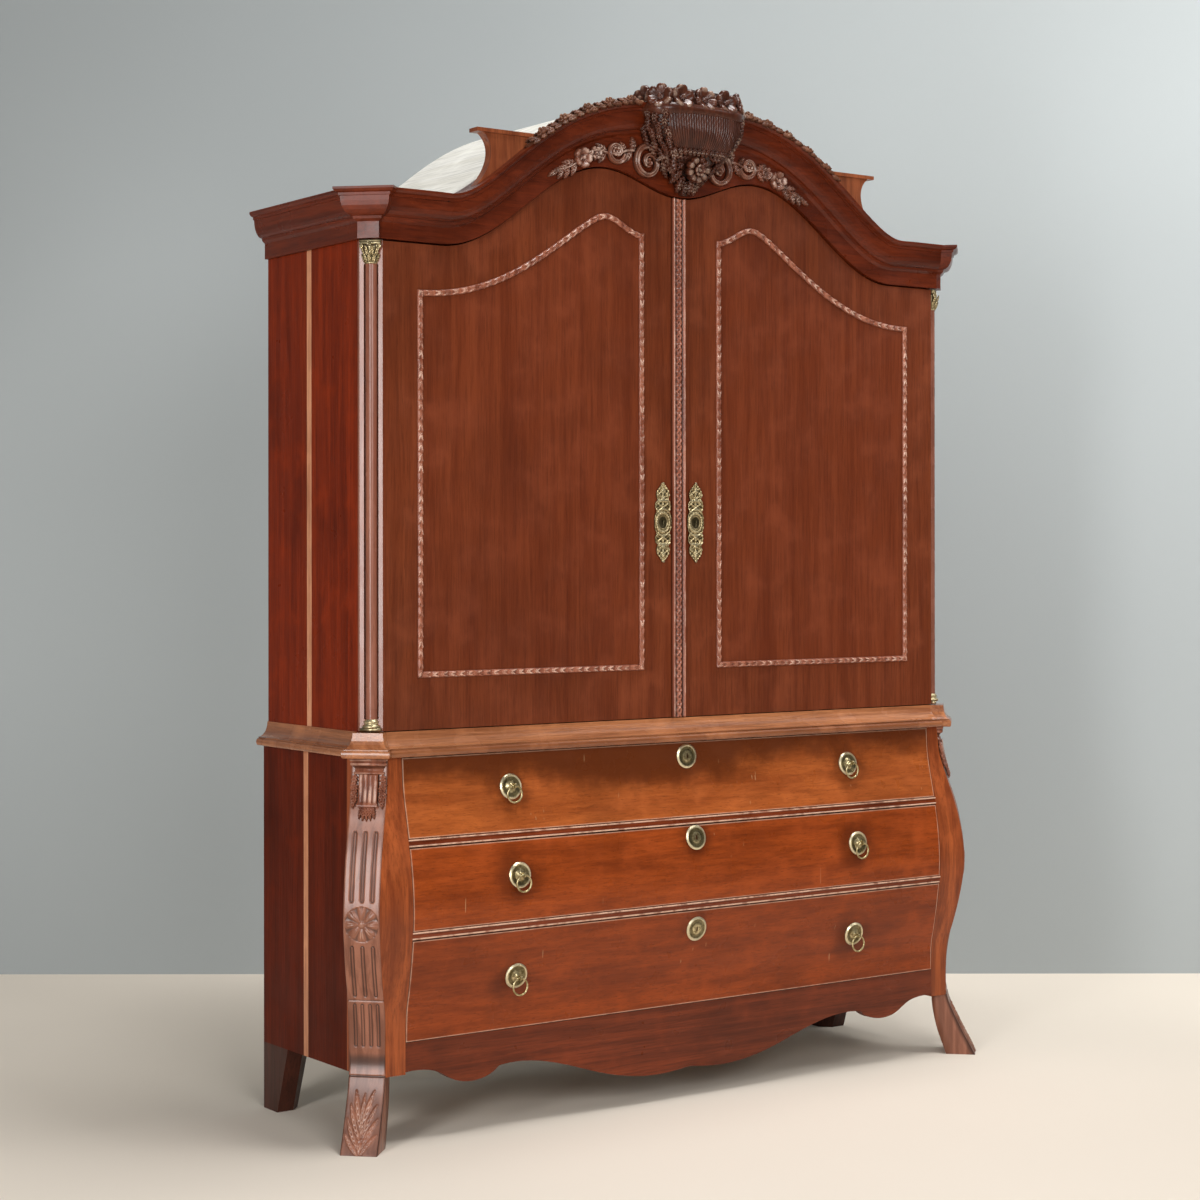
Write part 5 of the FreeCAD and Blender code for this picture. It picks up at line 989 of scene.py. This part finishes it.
garland_wood = carved_wood(
    "garland_wood", (0.075, 0.025, 0.0125), (0.156, 0.0575, 0.03), (0.45, 0.275, 0.175), gloss=0.4, wax=0.12)
work = start_carving()
for side in (-1, 1):
    path = []
    for x in [0.14 + 0.298 * index / 60 for index in range(61)]:
        slope = (arch_line(x + 0.0005) - arch_line(x - 0.0005)) / 0.001
        up = Vector((abs(slope), 0, 1)).normalized()
        path.append((Vector((x, GARLAND_MIDDLE, arch_line(x))) + up * 0.071, up))
    for index in range(GARLAND_LEAVES):
        place = round(57 * (index + 0.2) / GARLAND_LEAVES)
        spot, up = path[place]
        way = (path[place + 3][0] - spot).normalized()
        swell = 1.0 if index % 3 else 1.25
        for lean, lift in ((-1.0, 0.15), (-0.45, 0.65), (0.1, 1.0), (0.6, 0.75), (1.0, 0.2)):
            face = (up * (0.3 + lift) - FORWARD * (0.9 * lean)).normalized()
            root = spot + up * (0.0065 * lift) - FORWARD * (0.0095 * lean)
            tip = root + way * (0.028 * swell) + up * (0.0055 * lift * swell)
            tip -= FORWARD * (0.0055 * lean * swell)
            root, tip, face = [Vector((side * v.x, v.y, v.z)) for v in (root, tip, face)]
            add_leaf(work, root, tip, face, 0.0165 * swell, 0.0065,
                     curl=0.0025, veins=4, across=7, along=12)
        if index % 3 == 1:
            bud = spot + up * 0.011 + way * 0.006
            centre = Vector((side * bud.x, bud.y - 0.004, bud.z))
            add_flower(work, centre, Vector((side * up.x, -0.7, up.z)), UP, 0.0115, 0.0085, 5)
    core = [Vector((side * spot.x, spot.y, spot.z)) for spot, up in path]
    add_strand(work, core, Vector((0, -0.35, 1)).normalized(), 0.024, 0.3, 0.009)
finish_carving(work, "garlands_carved", garland_wood, "case")

# ---------- brasses
# Plates, rings, capitals and bases are cast brass, gone olive in the hollows and rubbed bright on the edges;
# the dark of the hollows is partly painted shade, the bright edges partly a painted highlight.
# The plates are nailed to the fronts, and each ring hangs loose in the eye of its plate.
DULL_BRASS, RUBBED_BRASS = (0.23, 0.172, 0.078), (0.68, 0.57, 0.33)


def cast_brass(name, dull, bright, gloss=0.3, raised=False, plates=()):
    """Dull cast brass with green bloom; the hollows of chased work and of round plates get grime and painted
    shade, their raised parts and rims wear and a painted highlight.
    """
    finish, tree, where = new_finish(name)
    spots = noise(tree, where, 150.0, 5.0, 0.65)
    bloom = noise(tree, where, 22.0, 3.0)
    grit = noise(tree, where, 700.0, 2.0)
    colour = mixed(tree, spread(tree, spots, 0.35, 0.66), dull, bright)
    colour = tinted(tree, colour, (0.13, 0.135, 0.065), 0.4, bloom, 0.5, 0.75)
    if raised:
        proud = part(tree, "Attribute", attribute_name="carving").outputs["Fac"]
        # Low chasing is painted near black, grime and painted shade; high chasing pale, wear and a painted
        # highlight.
        colour = tinted(tree, colour, (0.022, 0.018, 0.008), 0.94, proud, 0.66, 0.16)
        colour = tinted(tree, colour, (0.86, 0.78, 0.52), 0.5, proud, 0.7, 1.0)
    for x, z in plates:
        away = away_from(tree, where, x, z)
        # Round each plate: a dark ring in its hollow, grime and painted shade, and a pale ring on its rim, a
        # painted highlight on rubbed brass.
        for middle, reach, share, tone in (
                (0.0185, 0.007, 0.72, (0.075, 0.06, 0.024)), (0.0272, 0.0042, 0.7, (0.88, 0.79, 0.55))):
            near = calc(tree, "MULTIPLY", band(tree, away, middle, reach), share)
            colour = mixed(tree, near, colour, tone)
    rough = spread(tree, spots, 0.3, 0.7, gloss + 0.2, gloss)
    close_finish(tree, colour, rough, ((spots, 0.3, 0.0006), (grit, 0.2, 0.0002)),
                 {"Metallic": spread(tree, bloom, 0.45, 0.8, 1.0, 0.55)})
    return finish


for number, spots in BRASS_SPOTS.items():
    plate_brass = cast_brass("plate_brass_%d" % number, DULL_BRASS, RUBBED_BRASS, gloss=0.26, plates=spots)
    dress(plate_brass, "drawer_%d_brasses" % number)
ring_brass = cast_brass("ring_brass", (0.34, 0.27, 0.12), (0.74, 0.64, 0.38), gloss=0.24)
for number in BRASS_SPOTS:
    dress(ring_brass, "drawer_%d_ring_left" % number, "drawer_%d_ring_right" % number)
dress(ring_brass, "door_left_brasses", "door_right_brasses")

# ---------- chased brasses of the doors
# Each door has a tall lock plate chased with leaves and scrolls round a beaded oval, and its corner column
# stands between a leafy capital and a moulded base, all of cast brass.
PLATE_LEVEL, PLATE_TALL, PLATE_HALF, PLATE_COLUMNS, PLATE_ROWS = 1.405, 0.0985, 0.025, 44, 200
OVAL_WIDE, OVAL_TALL = 0.0195, 0.0235
upper_edge = [(0.0, 1.0), (0.16, 0.98), (0.26, 0.8), (0.38, 0.94), (0.5, 0.86), (0.56, 0.66), (0.66, 0.8),
              (0.78, 0.72), (0.88, 0.4), (1.0, 0.02)]
plate_edge = smooth_through([(-place, half) for place, half in upper_edge[:0:-1]] + upper_edge)
chased_brass = cast_brass("chased_brass", (0.25, 0.185, 0.085), (0.6, 0.47, 0.26), gloss=0.28, raised=True)


def plate_relief(x, z):
    """How proud the chasing of a lock plate stands, from 0 to 1; x and z from its keyhole."""
    across, oval = abs(x), math.hypot(x / OVAL_WIDE, z / OVAL_TALL)
    if math.hypot(x, z - 0.003) < 0.0034 or (across < 0.0018 and -0.0095 < z < 0.003):
        return 0.0
    if oval < 1.22:
        beads = 0.62 + 0.38 * abs(math.cos(11 * math.atan2(z / OVAL_TALL, x / OVAL_WIDE)))
        return min(1.0, 0.3 + 0.7 * beads * ridge(oval - 1.0, 0.15) + 0.3 * ridge(oval - 0.72, 0.09))
    share = abs(z) / PLATE_TALL
    value = 0.28
    value += 0.75 * ridge(share - 0.315, 0.022) * (0.7 + 0.3 * math.cos(x * 260))
    value += 0.75 * ridge(share - 0.545, 0.026)
    value += 0.6 * ridge(across - 0.0085 - 0.006 * math.sin(9.5 * share * math.pi), 0.0024)
    value += 0.45 * ridge(across, 0.0022) * (1 if share > 0.33 else 0)
    if share > 0.56:
        value += 0.4 * max(0.0, wave(share * 8.5 - across * 95))
    else:
        value += 0.3 * max(0.0, wave(share * 11 + across * 70))
    value += 0.35 * ridge(PLATE_HALF * plate_edge(z / PLATE_TALL) - across - 0.0016, 0.0015)
    return min(1.0, value)


for side, word, middle in ((-1, "left", -0.055), (1, "right", 0.046)):
    def on_plate(column, row):
        z = PLATE_TALL * (2 * row / PLATE_ROWS - 1) * 0.995
        half = PLATE_HALF * plate_edge(z / PLATE_TALL)
        if column > PLATE_COLUMNS:
            edge = 1 if column == PLATE_COLUMNS + 1 else -1
            return Vector((middle + half * edge, FACE - 0.0001, PLATE_LEVEL + z)), 0.2
        x = half * (2 * column / PLATE_COLUMNS - 1)
        value = plate_relief(x, z)
        return Vector((middle + x, FACE - 0.0012 - 0.0046 * value, PLATE_LEVEL + z)), value

    def column_ring(profile, around=64, leaves=0):
        """A turned brass round the corner column: (radius, height, lobes) steps, its leaves cut round it."""
        def on_ring(column, row):
            turn = 2 * math.pi * column / around
            radius, height, lobes = profile[row]
            cut = abs(math.cos(0.5 * leaves * turn)) if leaves else 1.0
            reach = radius * (1 - 0.16 * lobes * (1 - cut ** 0.6))
            q, u = -0.004 + reach * math.cos(turn), reach * math.sin(turn)
            return corner_point(side, max(q, -0.0005), u, height), 0.25 + 0.6 * (1 - lobes * (1 - cut))
        add_roll(work, around, len(profile) - 1, on_ring)

    def flat_block(half, reach):
        """The corners of a four-sided block that lies flat on the canted face."""
        def place(column, out, height):
            u, q = ((-half, -0.0003), (-half, reach), (half, reach), (half, -0.0003))[column]
            return corner_point(side, q + (out if q > 0 else 0), u + math.copysign(out, u), height)
        return place
    work = start_carving()
    add_roll(work, PLATE_COLUMNS + 3, PLATE_ROWS, on_plate)
    for root_level, tip_level, reach_low, reach_high, turns in (
            (1.983, 2.004, 0.0145, 0.019, (-66, -33, 0, 33, 66)),
            (1.998, 2.021, 0.0165, 0.0225, (-50, -17, 17, 50))):
        for turn in map(math.radians, turns):
            out = corner_way(side, math.cos(turn), math.sin(turn))
            centre = corner_point(side, -0.004, 0, 0)
            root = centre + out * reach_low + root_level * UP
            tip = centre + out * reach_high + tip_level * UP
            add_leaf(work, root, tip, out, 0.0125, 0.004, curl=0.003, veins=4)
    column_ring([
        (0.014, 1.9802, 0), (0.0162, 1.9812, 0), (0.0162, 1.9838, 0), (0.0146, 1.985, 0),
        (0.0148, 1.995, 0.8), (0.016, 2.006, 0.8), (0.019, 2.016, 0.6), (0.0205, 2.0205, 0.3)], leaves=10)
    for edge in (-1, 1):
        eye = corner_point(side, 0.0085, edge * 0.0185, 2.0195)
        add_flower(work, eye, corner_way(side, 1, edge * 0.9), UP, 0.0068, 0.0042, 4, cup=0.6)
    add_block(work, [(-0.002, 2.0235, 0.3), (0.0, 2.0255, 0.8), (0.0, 2.029, 0.9), (-0.0015, 2.0298, 0.2),
                     (0.001, 2.0308, 0.8), (0.001, 2.0335, 0.9)], flat_block(0.0235, 0.0105))
    add_flower(work, corner_point(side, 0.011, 0, 2.027), corner_way(side, 1, 0), UP, 0.0062, 0.003, 5)
    add_block(work, [(0.0012, 0.9285, 0.8), (0.0012, 0.9345, 0.9), (-0.0005, 0.9355, 0.3)],
              flat_block(0.0225, 0.011))
    column_ring([(radius, level, 0) for radius, level in (
        (0.02, 0.935), (0.0222, 0.9372), (0.0222, 0.9398), (0.02, 0.9418), (0.0172, 0.943),
        (0.0165, 0.9455), (0.0178, 0.9475), (0.0185, 0.9492), (0.0178, 0.951), (0.0155, 0.952),
        (0.015, 0.9545), (0.014, 0.9549))])
    finish_carving(work, "door_%s_brasses_chased" % word, chased_brass, "door_" + word,
                   hides=["door_%s_brasses" % word])

# ---------- lock
# A plain rim lock of dark iron is screwed to the back of the right door.
# Its works are hidden in the case.
dress(cast_brass("lock_iron", (0.055, 0.05, 0.045), (0.13, 0.12, 0.11), gloss=0.45), "door_right_lock")
